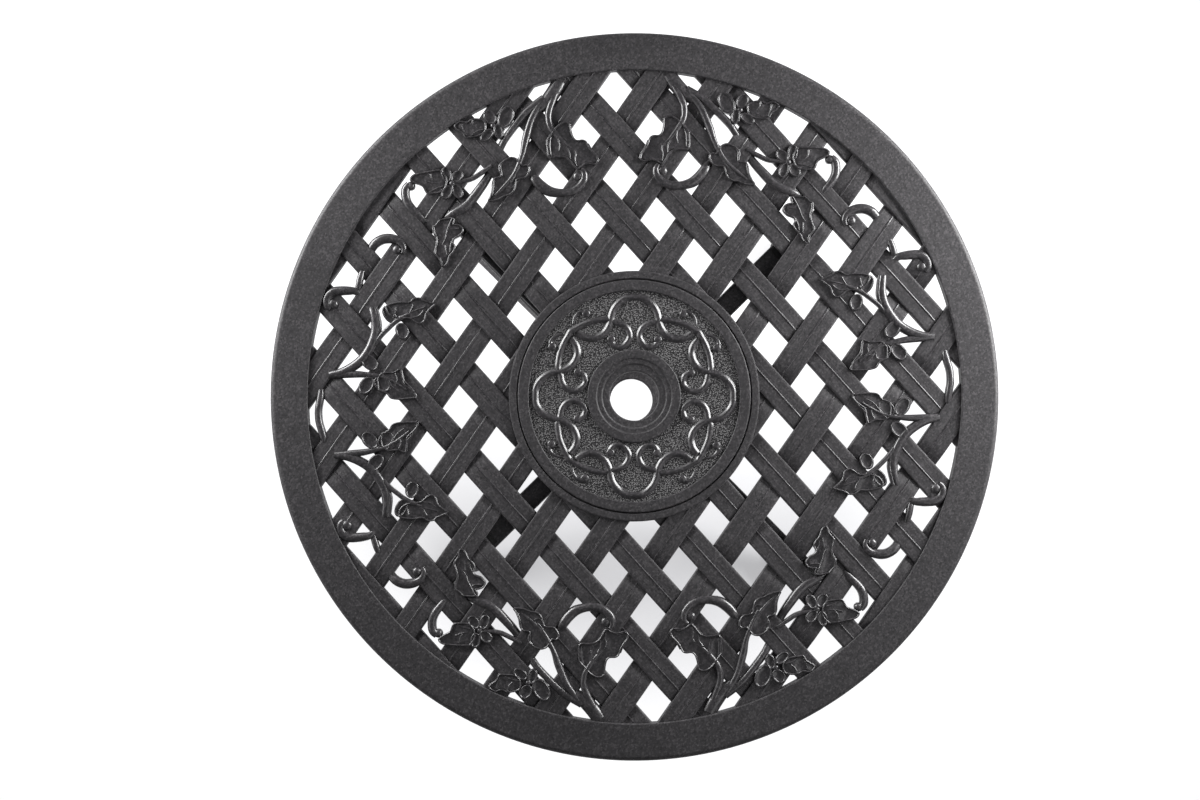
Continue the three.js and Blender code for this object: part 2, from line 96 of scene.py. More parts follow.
class Signal:
    """A number inside a shader, on which the usual signs work."""

    def __init__(self, shader: Shader, socket: bpy.types.NodeSocket) -> None:
        """Wraps the output socket that carries the number."""
        self.shader = shader
        self.socket = socket

    def _with(self, operation: str, *others: Signal | float) -> Signal:
        """Adds a Math node that takes this number first."""
        return self.shader.maths(operation, self, *others)

    def __add__(self, other: Signal | float) -> Signal:
        """The sum."""
        return self._with("ADD", other)

    __radd__ = __add__

    def __sub__(self, other: Signal | float) -> Signal:
        """The difference."""
        return self._with("SUBTRACT", other)

    def __mul__(self, other: Signal | float) -> Signal:
        """The product."""
        return self._with("MULTIPLY", other)

    __rmul__ = __mul__

    def __pow__(self, other: float) -> Signal:
        """The power."""
        return self._with("POWER", other)

    def clamped(self) -> Signal:
        """Held between nothing and one."""
        return self._with("MAXIMUM", 0.0)._with("MINIMUM", 1.0)

    def absolute(self) -> Signal:
        """Without its sign."""
        return self._with("ABSOLUTE")


def grey(level: float, blue: float = 1.0) -> Triple:
    """Makes a grey whose blue is a share of the rest."""
    return (level, level, level * blue)


def opaque(colour: object) -> object:
    """Adds a full alpha to a plain colour and leaves a socket alone."""
    return (*colour, 1.0) if isinstance(colour, tuple) else colour


class Shader:
    """A material or the room's light, and the nodes inside it."""

    def __init__(self, owner: bpy.types.Material | bpy.types.World) -> None:
        """Takes the nodes of their owner and starts with none.

        Args:
            owner: What the nodes belong to.
        """
        owner.use_nodes = True
        self.owner = owner
        self.tree = owner.node_tree
        self.tree.nodes.clear()

    def node(self, kind: str, settings: dict | None = None, inputs: dict | None = None) -> bpy.types.Node:
        """Adds a node, sets it, then feeds its sockets.

        Args:
            kind: The node's type.
            settings: Its own settings.
            inputs: What each socket gets, by name or number: a value, a signal or a socket.

        Returns:
            The new node.
        """
        made = self.tree.nodes.new(kind)
        for key, value in (settings or {}).items():
            setattr(made, key, value)
        for key, value in (inputs or {}).items():
            value = value.socket if isinstance(value, Signal) else value
            if isinstance(value, bpy.types.NodeSocket):
                self.tree.links.new(value, made.inputs[key])
            else:
                made.inputs[key].default_value = value
        return made

    def maths(self, operation: str, *operands: Signal | float) -> Signal:
        """Adds a Math node and feeds its inputs in order."""
        made = self.node("ShaderNodeMath", {"operation": operation}, dict(enumerate(operands)))
        return Signal(self, made.outputs[0])

    def mix(self, share: Signal | float, first: object, second: object) -> bpy.types.NodeSocket:
        """Mixes two colours or colour sockets, with that share of the second."""
        inputs = {0: share, 6: opaque(first), 7: opaque(second)}
        return self.node("ShaderNodeMix", {"data_type": "RGBA"}, inputs).outputs[2]

    def place(self) -> bpy.types.NodeSocket:
        """Gives the table's own coordinates, in metres."""
        return self.node("ShaderNodeTexCoord").outputs["Object"]

    def along_slat(self) -> bpy.types.NodeSocket:
        """Gives coordinates across and along a slat, in metres."""
        return self.node("ShaderNodeUVMap", {"uv_map": "slat"}).outputs[0]

    def scaled(self, at: bpy.types.NodeSocket, scale: Triple) -> bpy.types.NodeSocket:
        """Scales coordinates: a small scale draws out what follows them and a large one squeezes it."""
        return self.node("ShaderNodeMapping", None, {"Vector": at, "Scale": scale}).outputs[0]

    def axis(self, at: bpy.types.NodeSocket, number: int) -> Signal:
        """Gives one of the coordinates."""
        return Signal(self, self.node("ShaderNodeSeparateXYZ", None, {0: at}).outputs[number])

    def noise(self, at: bpy.types.NodeSocket, lumps: float, detail: float = 2.0,
              rough: float = 0.5) -> Signal:
        """Adds a noise with that many lumps to the metre; it is about one half on average."""
        inputs = {"Vector": at, "Scale": lumps, "Detail": detail, "Roughness": rough}
        return Signal(self, self.node("ShaderNodeTexNoise", None, inputs).outputs[0])

    def cells(self, at: bpy.types.NodeSocket, lumps: float, dimensions: str) -> tuple[Signal, Signal]:
        """Adds a cell pattern.

        Args:
            at: Its coordinates.
            lumps: How many cells there are to the metre.
            dimensions: "3D", or "2D" where the cells lie side by side in plan.

        Returns:
            The distance from a cell's middle, and a number drawn for each cell.
        """
        inputs = {"Vector": at, "Scale": lumps}
        made = self.node("ShaderNodeTexVoronoi", {"voronoi_dimensions": dimensions}, inputs)
        return Signal(self, made.outputs["Distance"]), Signal(self, made.outputs["Color"])

    def between(self, value: Signal, low: float, high: float) -> Signal:
        """Rises smoothly from nothing where the value is low to one where it is high."""
        smooth, inputs = {"interpolation_type": "SMOOTHSTEP"}, {0: value, 1: low, 2: high}
        return Signal(self, self.node("ShaderNodeMapRange", smooth, inputs).outputs[0])

    def bump(self, height: Signal, depth: float, strength: float = 1.0) -> bpy.types.NodeSocket:
        """Makes a relief too fine for the mesh, with its depth in metres."""
        inputs = {"Strength": strength, "Distance": depth, "Height": height}
        return self.node("ShaderNodeBump", None, inputs).outputs[0]

    def surface(self, inputs: dict) -> bpy.types.Material:
        """Ends the material in one solid surface.

        Args:
            inputs: What the surface's sockets get.

        Returns:
            The finished material.
        """
        body = self.node("ShaderNodeBsdfPrincipled", None, inputs)
        self.node("ShaderNodeOutputMaterial", None, {"Surface": body.outputs[0]})
        return self.owner


# Finishes


@dataclass(frozen=True)
class Dress:
    """A finished material and the name of a slot in the record."""

    material: bpy.types.Material
    slot: str


class Skin(Enum):
    """What the powder coat lies on, by the name of its material."""

    PLAIN = "charcoal_coat"
    SLAT = "charcoal_coat_on_slats"
    RELIEF = "charcoal_coat_on_relief"
    STIPPLE = "charcoal_coat_on_stipple"


@dataclass(frozen=True)
class PowderCoat:
    """The finely textured warm charcoal coat of the castings, with its lumps counted to the metre."""

    base: Triple = (0.0338, 0.0318, 0.0342)
    pale: Triple = (0.081, 0.076, 0.08)
    # deep darkens the random dark flecks and dull clouds, and is also the painted shade in the stipple's
    # pits.
    deep: Triple = (0.0142, 0.0134, 0.0145)
    # The painted highlight on the tops of the stipple's pebbles.
    glint: Triple = (0.2, 0.195, 0.197)
    satin: float = 0.55
    gloss: float = 0.3
    satin_shine: float = 0.5
    gloss_shine: float = 0.75
    satin_grain: float = 0.2
    gloss_grain: float = 0.08
    clouds: float = 14.0
    mottles: float = 230.0
    specks: float = 560.0
    flecks: float = 760.0
    grains: float = 1050.0
    grain_detail: Pair = (3.0, 0.65)
    orange_peel: float = 0.00011
    smooth_share: float = 0.2
    streaks: float = 900.0
    streak_scale: Triple = (1.0, 0.045, 1.0)
    streak_depth_share: float = 1.25
    slat_spacing: float = 0.0675
    rib_half: float = 0.0011
    pebbles: float = 740.0
    pebble_depth: float = 0.0007

    def speckled(self, shader: Shader, cloud: Signal, grain: Signal) -> bpy.types.NodeSocket:
        """Gives the coat's colour, with pale and deep flecks and a few dull clouds.

        Args:
            shader: The material.
            cloud: Its broad noise.
            grain: Its fine noise.

        Returns:
            The colour's socket.
        """
        chance = shader.cells(shader.place(), self.flecks, "3D")[1]
        sparkle = chance * 0.5 + grain * 0.25 + shader.noise(shader.place(), self.specks, 1.0) * 0.25
        colour = shader.mix(shader.between(sparkle, 0.5, 0.78), self.base, self.pale)
        colour = shader.mix(shader.between(sparkle, 0.5, 0.22), colour, self.deep)
        return shader.mix(shader.between(cloud, 0.45, 0.3) * 0.25, colour, self.deep)

    def rib_mask(self, shader: Shader) -> Signal:
        """Gives one on the rib along the middle of a slat and nothing beside it."""
        half = self.slat_spacing / 2
        across = shader.maths("WRAP", shader.axis(shader.along_slat(), 0), half, -half).absolute()
        return shader.between(across, self.rib_half * 1.3, self.rib_half)

    def make(self, skin: Skin) -> Dress:
        """Makes the coat: streaked along slats, glossier and smoother on relief, pebbled on stipple, with a
        painted highlight on the pebble tops and painted shade in the pits between them.

        Args:
            skin: What it lies on.

        Returns:
            The finished coat.
        """
        shader = Shader(bpy.data.materials.new(skin.value))
        at = shader.place()
        cloud = shader.noise(at, self.clouds, 3.0)
        grain = shader.noise(at, self.grains, *self.grain_detail)
        colour = self.speckled(shader, cloud, grain)
        height = grain * 0.55 + shader.noise(at, self.mottles) * 0.45
        rough, grained, shine, depth = self.satin, self.satin_grain, self.satin_shine, self.orange_peel
        if skin is Skin.RELIEF:
            rough, grained, shine = self.gloss, self.gloss_grain, self.gloss_shine
            depth *= self.smooth_share
        rough = rough + (grain - 0.5) * grained + (cloud - 0.5) * 0.1
        if skin is Skin.SLAT:
            brushed = shader.noise(shader.scaled(shader.along_slat(), self.streak_scale), self.streaks)
            colour = shader.mix(shader.between(brushed, 0.5, 0.75) * 0.5, colour, self.pale)
            rough = rough + (brushed - 0.5) * 0.2 - self.rib_mask(shader) * (self.satin - self.gloss)
            height = height * 0.55 + brushed * 0.45
            depth *= self.streak_depth_share
        if skin is Skin.STIPPLE:
            distance, chance = shader.cells(at, self.pebbles, "2D")
            pebble = shader.between(distance, 0.5, 0.25)
            # Painted highlight and shade: the raised pebble tops are painted bright, some more than others,
            # and the pits between them are painted dark; the bump below raises the same pebbles.
            colour = shader.mix(pebble * shader.between(chance, 0.15, 0.5), self.deep, self.glint)
            height = pebble * (0.5 + chance * 0.5)
            depth = self.pebble_depth
        return Dress(shader.surface({
            "Base Color": colour,
            "Roughness": rough,
            "Specular IOR Level": shine,
            "Normal": shader.bump(height, depth),
        }), "coat")


@dataclass(frozen=True)
class PlainFinish:
    """Plated, turned or moulded stuff: two tones in clouds and a fine grain, counted to the metre."""

    name: str
    slot: str
    base: Triple
    worn: Triple
    rough: float
    clouds: float
    cloud_span: Pair
    cloud_rough: float
    grains: float
    grain_scale: Triple
    grain_detail: float
    grain_rough: float
    depth: float
    strength: float
    metallic: float = 1.0

    def make(self) -> Dress:
        """Makes the finish.

        Returns:
            The finished material and its slot.
        """
        shader = Shader(bpy.data.materials.new(self.name))
        cloud = shader.noise(shader.place(), self.clouds, 3.0)
        at = shader.scaled(shader.place(), self.grain_scale)
        grain = shader.noise(at, self.grains, self.grain_detail)
        rough = self.rough + (cloud - 0.5) * self.cloud_rough + (grain - 0.5) * self.grain_rough
        return Dress(shader.surface({
            "Base Color": shader.mix(shader.between(cloud, *self.cloud_span), self.base, self.worn),
            "Roughness": rough,
            "Metallic": self.metallic,
            "Normal": shader.bump(grain, self.depth, self.strength),
        }), self.slot)


def finishes() -> dict[str, Dress]:
    """Mixes every finish of the table.

    Returns:
        The finishes by plain names.
    """
    nylon = PlainFinish(
        "moulded_nylon", "nylon", base=grey(0.02), worn=grey(0.04), rough=0.55, clouds=90.0,
        cloud_span=(0.5, 0.75), cloud_rough=0.0, grains=800.0, grain_scale=grey(1.0), grain_detail=2.0,
        grain_rough=0.15, depth=0.00006, strength=0.7, metallic=0.0)
    others = (
        PlainFinish("zinc_plate", "zinc", base=(0.54, 0.55, 0.57), worn=(0.36, 0.37, 0.38), rough=0.3,
                    clouds=260.0, cloud_span=(0.42, 0.68), cloud_rough=0.25, grains=1600.0,
                    grain_scale=(1.0, 1.0, 1 / 0.12), grain_detail=2.0, grain_rough=0.2,
                    depth=0.00003, strength=0.6),
        PlainFinish("turned_brass", "brass", base=(0.6, 0.45, 0.2), worn=(0.36, 0.25, 0.1), rough=0.32,
                    clouds=180.0, cloud_span=(0.4, 0.7), cloud_rough=0.3, grains=700.0,
                    grain_scale=(1.0, 1.0, 20.0), grain_detail=1.0, grain_rough=0.0,
                    depth=0.00004, strength=0.5),
        nylon,
        replace(nylon, name="matt_rubber", slot="rubber", base=grey(0.014), worn=grey(0.03), rough=0.8,
                grains=500.0),
    )
    coats = {skin.name.lower(): PowderCoat().make(skin) for skin in Skin}
    return coats | {finish.slot: finish.make() for finish in others}


# Shapes


def smooth_route(points: Sequence[Sequence[float]], each: int, closed: bool = False) -> list[Vector]:
    """Rounds a line of points into a flowing one that still passes through them.

    Args:
        points: Points of two or more numbers; the numbers past the first two are carried along.
        each: How many steps to take between neighbours.
        closed: Whether the line returns to its start.

    Returns:
        The finer line.
    """
    known = [Vector(point) for point in points]
    count = len(known)
    route = []
    for at in range(count if closed else count - 1):
        before, start, end, after = (
            known[(at + shift) % count] if closed else known[min(max(at + shift, 0), count - 1)]
            for shift in (-1, 0, 1, 2))
        for piece in range(each):
            t = piece / each
            route.append(0.5 * (2 * start + (end - before) * t
                                + (2 * before - 5 * start + 4 * end - after) * t ** 2
                                + (3 * start - before - 3 * end + after) * t ** 3))
    if not closed:
        route.append(known[-1].copy())
    return route


def gap_to_line(point: Vector, line: Sequence[Vector], closed: bool = False) -> float:
    """Measures from a point to a line in plan.

    Args:
        point: The point.
        line: The line's corners.
        closed: Whether the line returns to its start.

    Returns:
        The shortest distance.
    """
    best = math.inf
    for at in range(len(line) if closed else len(line) - 1):
        ax, ay = line[at][0], line[at][1]
        end = line[(at + 1) % len(line)]
        dx, dy = end[0] - ax, end[1] - ay
        long = dx * dx + dy * dy
        t = 0.0 if not long else min(max(((point[0] - ax) * dx + (point[1] - ay) * dy) / long, 0.0), 1.0)
        best = min(best, (point[0] - ax - t * dx) ** 2 + (point[1] - ay - t * dy) ** 2)
    return math.sqrt(best)


HOLD = 0.4
LONG_STRAIGHT = 2.6


def held(profile: Sequence[Pair], closed: bool) -> list[Pair]:
    """Adds a point beside each end of every long straight, so that smooth shading leaves it flat.

    Args:
        profile: The points of a profile.
        closed: Whether it returns to its start.

    Returns:
        The longer profile.
    """
    longer = []
    for at, start in enumerate(profile):
        longer.append(start)
        if at == len(profile) - 1 and not closed:
            break
        end = profile[(at + 1) % len(profile)]
        length = math.dist(start, end)
        for away, anchor in ((HOLD, start), (length - HOLD, end)):
            if length >= LONG_STRAIGHT and anchor[0] > 0:
                share = away / length
                longer.append(tuple(a + (b - a) * share for a, b in zip(start, end)))
    return longer


def eased(share: float) -> float:
    """Turns a straight rise from nothing to one into a smooth one."""
    t = min(max(share, 0.0), 1.0)
    return t * t * (3 - 2 * t)


def arc(centre: Pair, radius: float, start: float, end: float, steps: int) -> list[Pair]:
    """Draws an arc of a profile, from one angle in degrees to another."""
    angles = [math.radians(start + (end - start) * at / steps) for at in range(steps + 1)]
    return [(centre[0] + radius * math.cos(angle), centre[1] + radius * math.sin(angle)) for angle in angles]


def both_sides(right: Sequence[Pair], middle: Sequence[Pair] = ()) -> list[Pair]:
    """Completes the right half of a section with its mirror image."""
    return [*right, *middle, *((-across, up) for across, up in reversed(right))]


def station(side: Vector, rise: Vector, ahead: Vector, place: Sequence[float]) -> Matrix:
    """Makes a frame from its axes.

    Args:
        side: Its X axis.
        rise: Its Y axis.
        ahead: Its Z axis.
        place: Its origin.

    Returns:
        The frame.
    """
    made = Matrix((side, rise, ahead)).transposed().to_4x4()
    made.translation = place
    return made


def directions(points: Sequence[Vector]) -> list[Vector]:
    """Gives the way that a line runs at each of its points, from one neighbour to the other."""
    last = len(points) - 1
    return [points[min(at + 1, last)] - points[max(at - 1, 0)] for at in range(last + 1)]


def level_stations(points: Sequence[Vector]) -> list[Matrix]:
    """Makes a station at each point of a line in plan: X to the left of travel, Y up.

    Args:
        points: The line's points, whose first two numbers are their place.

    Returns:
        The stations.
    """
    stations = []
    for point, along in zip(points, directions(points)):
        side = Vector((-along[1], along[0], 0.0)).normalized()
        stations.append(station(side, UP, side.cross(UP), (point[0], point[1], 0.0)))
    return stations


class Form:
    """A mesh in the making, in millimetres."""

    def __init__(self) -> None:
        """Starts an empty form."""
        self.mesh = bmesh.new()

    def grid(self, rows: int, columns: int, place: Callable[[int, int], Vector],
             layer: Callable[[int, int], Pair] | None = None) -> Form:
        """Lays a net of faces and puts each knot in its place.

        Args:
            rows: How many rows of knots.
            columns: How many knots in a row.
            place: Where the knot of a row and column goes.
            layer: The coordinates that a pattern follows there, if any.

        Returns:
            This form.
        """
        wide, long = rows - 1, columns - 1
        made = bmesh.ops.create_grid(self.mesh, x_segments=wide, y_segments=long, size=1.0)["verts"]
        knots = {vert: (round((vert.co.x + 1) / 2 * wide), round((vert.co.y + 1) / 2 * long))
                 for vert in made}
        if layer:
            layers = self.mesh.loops.layers.uv
            uv = layers.get("slat") or layers.new("slat")
            for face in {face for vert in made for face in vert.link_faces}:
                for loop in face.loops:
                    loop[uv].uv = layer(*knots[loop.vert])
        for vert, knot in knots.items():
            vert.co = place(*knot)
        return self

    def tube(self, stations: Sequence[Matrix], section: Callable[[int], Sequence[Pair]]) -> Form:
        """Draws a closed section through a line of stations and caps its ends.

        Args:
            stations: A frame for each station, whose X and Y axes carry the section.
            section: The section's corners at a station.

        Returns:
            This form.
        """
        loops = [section(at) for at in range(len(stations))]
        count = len(loops[0])
        self.grid(len(stations), count + 1,
                  lambda row, column: stations[row] @ Vector((*loops[row][column % count], 0.0)))
        return self.closed()

    def lathe(self, profile: Sequence[Pair], steps: int, closed: bool = True, lift: float = 0.0) -> Form:
        """Spins a profile about the upright axis.

        Args:
            profile: Radius and height of each corner.
            steps: How many steps make the full turn.
            closed: Whether the profile returns to its start.
            lift: How far each turn climbs, as a thread does.

        Returns:
            This form.
        """
        verts = [self.mesh.verts.new((radius, 0.0, height)) for radius, height in held(profile, closed)]
        pairs = [*zip(verts, verts[1:]), *([(verts[-1], verts[0])] if closed else ())]
        edges = [self.mesh.edges.new(pair) for pair in pairs]
        bmesh.ops.spin(self.mesh, geom=verts + edges, cent=(0, 0, 0), axis=UP, dvec=UP * lift / steps,
                       angle=FULL_TURN, steps=steps, use_merge=not lift, use_duplicate=False)
        return self.closed()

    def _rounded(self, edges: list[bmesh.types.BMEdge], width: float, segments: int) -> Form:
        """Rounds edges off."""
        bmesh.ops.bevel(self.mesh, geom=edges, offset=width, affect="EDGES", segments=segments, profile=0.5,
                        material=-1)
        return self

    def hexagon(self, across: float, low: float, high: float, width: float) -> Form:
        """Makes an upright hexagonal prism with its end edges taken off.

        Args:
            across: The distance over its flats.
            low: Its underside.
            high: Its top.
            width: The width taken off the edges.

        Returns:
            This form.
        """
        radius = across / 2 / math.cos(math.pi / 6)
        made = bmesh.ops.create_cone(self.mesh, cap_ends=True, cap_tris=False, segments=6, radius1=radius,
                                     radius2=radius, depth=high - low)["verts"]
        bmesh.ops.translate(self.mesh, vec=(0, 0, (low + high) / 2), verts=made)
        level = [edge for edge in {edge for vert in made for edge in vert.link_edges}
                 if abs(edge.verts[0].co.z - edge.verts[1].co.z) < 1e-6]
        return self._rounded(level, width, 2)

    def block(self, low: Sequence[float], high: Sequence[float], width: float, segments: int) -> Form:
        """Makes a block with rounded edges.

        Args:
            low: Its lowest corner.
            high: Its highest corner.
            width: The radius of its edges.
            segments: How many faces go round an edge.

        Returns:
            This form.
        """
        made = bmesh.ops.create_cube(self.mesh, size=1.0)["verts"]
        bmesh.ops.scale(self.mesh, vec=[b - a for a, b in zip(low, high)], verts=made)
        bmesh.ops.translate(self.mesh, vec=[(a + b) / 2 for a, b in zip(low, high)], verts=made)
        return self._rounded(list({edge for vert in made for edge in vert.link_edges}), width, segments)

    def relief(self, outline: Sequence[Vector], cell: float, height: Callable[[Vector], float],
               base: float) -> Form:
        """Cuts an outline into small cells, raises them to a relief and gives it a body down to a flat base.

        Args:
            outline: The outline in plan.
            cell: The size of a cell.
            height: The top's level at a point in plan.
            base: The level of its underside.

        Returns:
            This form.
        """
        part = bmesh.new()
        part.faces.new([part.verts.new((point[0], point[1], 0.0)) for point in outline])
        for axis, normal in enumerate((Vector((1, 0, 0)), Vector((0, 1, 0)))):
            low = min(point[axis] for point in outline)
            high = max(point[axis] for point in outline)
            for cut in range(1, int((high - low) / cell) + 1):
                bmesh.ops.bisect_plane(part, geom=part.verts[:] + part.edges[:] + part.faces[:], dist=1e-4,
                                       plane_co=normal * (low + cut * cell), plane_no=normal)
        for vert in part.verts:
            vert.co.z = height(vert.co)
        rim = [edge for edge in part.edges if edge.is_boundary]
        for item in bmesh.ops.extrude_edge_only(part, edges=rim)["geom"]:
            if isinstance(item, bmesh.types.BMVert):
                item.co.z = base
        bmesh.ops.holes_fill(part, edges=[edge for edge in part.edges if edge.is_boundary], sides=0)
        bmesh.ops.recalc_face_normals(part, faces=part.faces[:])
        return self._take(part)

    def _take(self, part: bmesh.types.BMesh) -> Form:
        """Adds a loose mesh to this form and frees it.

        Args:
            part: The loose mesh.

        Returns:
            This form.
        """
        carrier = bpy.data.meshes.new("carrier")
        part.to_mesh(carrier)
        part.free()
        self.mesh.from_mesh(carrier)
        bpy.data.meshes.remove(carrier)
        return self

    def add(self, other: Form, move: Matrix | None = None) -> Form:
        """Adds a copy of another form.

        Args:
            other: The other form, which stays.
            move: Where the copy goes.

        Returns:
            This form.
        """
        part = other.mesh.copy()
        if move:
            part.transform(move)
            if move.determinant() < 0:
                bmesh.ops.reverse_faces(part, faces=part.faces[:])
        return self._take(part)

    def closed(self) -> Form:
        """Merges doubles, closes what is open and turns the faces outwards.

        Returns:
            This form.
        """
        bmesh.ops.remove_doubles(self.mesh, verts=self.mesh.verts[:], dist=1e-3)
        open_edges = [edge for edge in self.mesh.edges if edge.is_boundary]
        if open_edges:
            bmesh.ops.holes_fill(self.mesh, edges=open_edges, sides=0)
        bmesh.ops.recalc_face_normals(self.mesh, faces=self.mesh.faces[:])
        if self.mesh.calc_volume(signed=True) < 0:
            bmesh.ops.reverse_faces(self.mesh, faces=self.mesh.faces[:])
        return self

    def piece(self, name: str, dress: Dress, *nodes: str, body: str = "table", turn: float = 0.0,
              sharp: float = 34.0) -> None:
        """Turns the form into a finished piece of the table.

        Args:
            name: The piece's name.
            dress: Its finish.
            nodes: The plain nodes that it stands for.
            body: The body that it rides on.
            turn: A turn about the upright axis, in radians.
            sharp: The angle in degrees past which an edge stays crisp.
        """
        mesh = self.mesh
        mesh.transform(Matrix.Rotation(turn, 4, "Z") @ Matrix.Scale(METRES, 4))
        for face in mesh.faces:
            face.smooth = True
        for edge in mesh.edges:
            edge.smooth = len(edge.link_faces) == 2 and edge.calc_face_angle(0.0) < math.radians(sharp)
        data = bpy.data.meshes.new(name)
        mesh.to_mesh(data)
        mesh.free()
        data.materials.append(dress.material)
        made = bpy.data.objects.new(name, data)
        bpy.context.scene.collection.objects.link(made)
        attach(made, body)
        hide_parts(*nodes)
        triangles = sum(len(polygon.vertices) - 2 for polygon in data.polygons)
        LOG.info("%s: %d triangles on %s", name, triangles, body)


@dataclass
class CornerPiece:
    """A form along the X axis that is turned into one piece at each corner."""

    kind: str
    look: str
    form: Form
    dress: Dress
    sharp: float = 34.0
    on_glide: bool = False

    def set_at(self, corner: Corner) -> None:
        """Makes the piece of one corner.

        Args:
            corner: The corner.
        """
        node = f"{self.kind}_{corner.tag}"
        body = f"glide_{corner.tag}" if self.on_glide else "table"
        Form().add(self.form).piece(f"{node}_{self.look}", self.dress, node, body=body, turn=corner.turn,
                                    sharp=self.sharp)


def set_at_corners(*rows: CornerPiece) -> None:
    """Makes the pieces of every corner in turn."""
    for corner in Corner:
        for row in rows:
            row.set_at(corner)


# Tabletop casting


@dataclass
class Rim:
    """The broad ring round the lattice, with its skirt and its inner lip."""

    outer: float = 304.9
    inner: float = 273.5
    top: float = 540.0
    low: float = 520.0
    skirt: float = 5.0
    plate: float = 6.0
    lip: float = 5.0
    lip_low: float = 527.0
    edge_round: float = 4.0
    inner_round: float = 1.1
    chamfer: float = 0.8
    steps: int = 240

    def build(self) -> Form:
        """Spins the ring.

        Returns:
            The ring.
        """
        big, small, cut = self.edge_round, self.inner_round, self.chamfer
        under = self.top - self.plate
        return Form().lathe([
            (self.outer - cut, self.low), (self.outer, self.low + cut),
            *arc((self.outer - big, self.top - big), big, 0, 90, 7),
            *arc((self.inner + small, self.top - small), small, 90, 180, 4),
            (self.inner, self.lip_low + cut), (self.inner + cut, self.lip_low),
            (self.inner + self.lip, self.lip_low), (self.inner + self.lip, under),
            (self.outer - self.skirt, under), (self.outer - self.skirt, self.low)], self.steps)


class Weave(Enum):
    """The two directions of the slats; the value tells which crossings pass below."""

    RISING = 0
    FALLING = 1


@dataclass
class WovenLattice:
    """The slats, each passing over one neighbour and under the next."""

    half_cell: Pair = (29.25, 36.8)
    width: float = 22.5
    top: float = 537.5
    backs: Pair = (528.0, 529.0)
    drop: float = 5.0
    flat: float = 47.0
    outer: float = 276.0
    inner: float = 103.0
    last_line: int = 6
    slope_steps: int = 9
    edge: float = 1.5
    rib: float = 0.95
    rib_rise: float = 0.45

    EDGE_SHARES = ((0.0, 1.2), (0.1, 0.6), (0.4, 0.2), (1.0, 0.0), (1.3, 0.0))
    RIB_SHARES = ((1.3, 0.0), (1.0, 0.0), (0.65, 0.3), (0.3, 0.88))

    @property
    def pitch(self) -> float:
        """The distance between crossings along a slat."""
        return math.hypot(*self.half_cell)

    def section(self) -> list[tuple[float, float | None]]:
        """Draws a slat's section: a flat back, rounded edges and a fine rib along the middle.

        Returns:
            The offset of each corner and its depth below the top, or none for the flat back.
        """
        half = self.width / 2
        edge = [(half - self.edge * across, self.edge * sink) for across, sink in self.EDGE_SHARES]
        rib = [(self.rib * across, -self.rib_rise * rise) for across, rise in self.RIB_SHARES]
        return both_sides([(half, None), *edge, *rib], [(0.0, -self.rib_rise)])

    def slat(self, weave: Weave, line: int, side: int) -> Form:
        """Makes one slat, or the part of it on one side of the hub.

        Args:
            weave: Its direction.
            line: Its number, counted from the middle.
            side: 1 or -1 for the part past the hub, 0 for a whole slat.

        Returns:
            The slat.
        """
        rising = Vector(self.half_cell)
        falling = Vector((-self.half_cell[0], self.half_cell[1]))
        step, other = (rising, falling) if weave is Weave.RISING else (falling, rising)
        ahead = step / self.pitch
        left = Vector((-ahead.y, ahead.x))
        offset = line * other.dot(left)
        start = line * other.dot(ahead)
        parity = (line + weave.value) % 2
        half_flat = self.flat / 2
        reach = math.ceil(self.outer / self.pitch / 2) * 2 + 2
        rows = [start + near * self.pitch + half_flat * at / self.slope_steps
                for near in range(-reach + parity, reach + 1, 2)
                for at in range(-self.slope_steps, self.slope_steps + 1)]
        rows = [along for along in rows if side == 0 or along * side > -self.pitch]
        section = self.section()

        def dip(along: float) -> float:
            """Gives how far the top has dropped."""
            count = (along - start) / self.pitch
            near = 2 * round((count - parity) / 2) + parity
            gap = abs(count - near) * self.pitch
            return 0.0 if gap >= half_flat else self.drop * (1 + math.cos(math.pi * gap / half_flat)) / 2

        def knot(row: int, column: int) -> Vector:
            """Puts a corner of the section between the hub and the rim."""
            across, sink = section[column % len(section)]
            apart = min(max(offset + across, -self.outer), self.outer)
            far = math.sqrt(self.outer ** 2 - apart ** 2)
            along = min(max(rows[row], -far), far)
            if side:
                along = side * max(along * side, math.sqrt(max(self.inner ** 2 - apart ** 2, 0.0)))
            level = self.backs[weave.value] if sink is None else self.top - dip(along) - sink
            return Vector((*(ahead * along + left * apart), level))

        def layer(row: int, column: int) -> Pair:
            """Gives the pattern's coordinates, in metres."""
            across = section[column % len(section)][0]
            return (line * self.width * 3 + across) * METRES, rows[row] * METRES

        return Form().grid(len(rows), len(section) + 1, knot, layer).closed()

    def build(self) -> Form:
        """Makes every slat.

        Returns:
            The lattice.
        """
        whole = Form()
        spacing = 2 * self.half_cell[0] * self.half_cell[1] / self.pitch
        for weave in Weave:
            for line in range(-self.last_line, self.last_line + 1):
                crosses_hub = abs(line) * spacing - self.width / 2 < self.inner
                for side in (1, -1) if crosses_hub else (0,):
                    whole.add(self.slat(weave, line, side))
        return whole


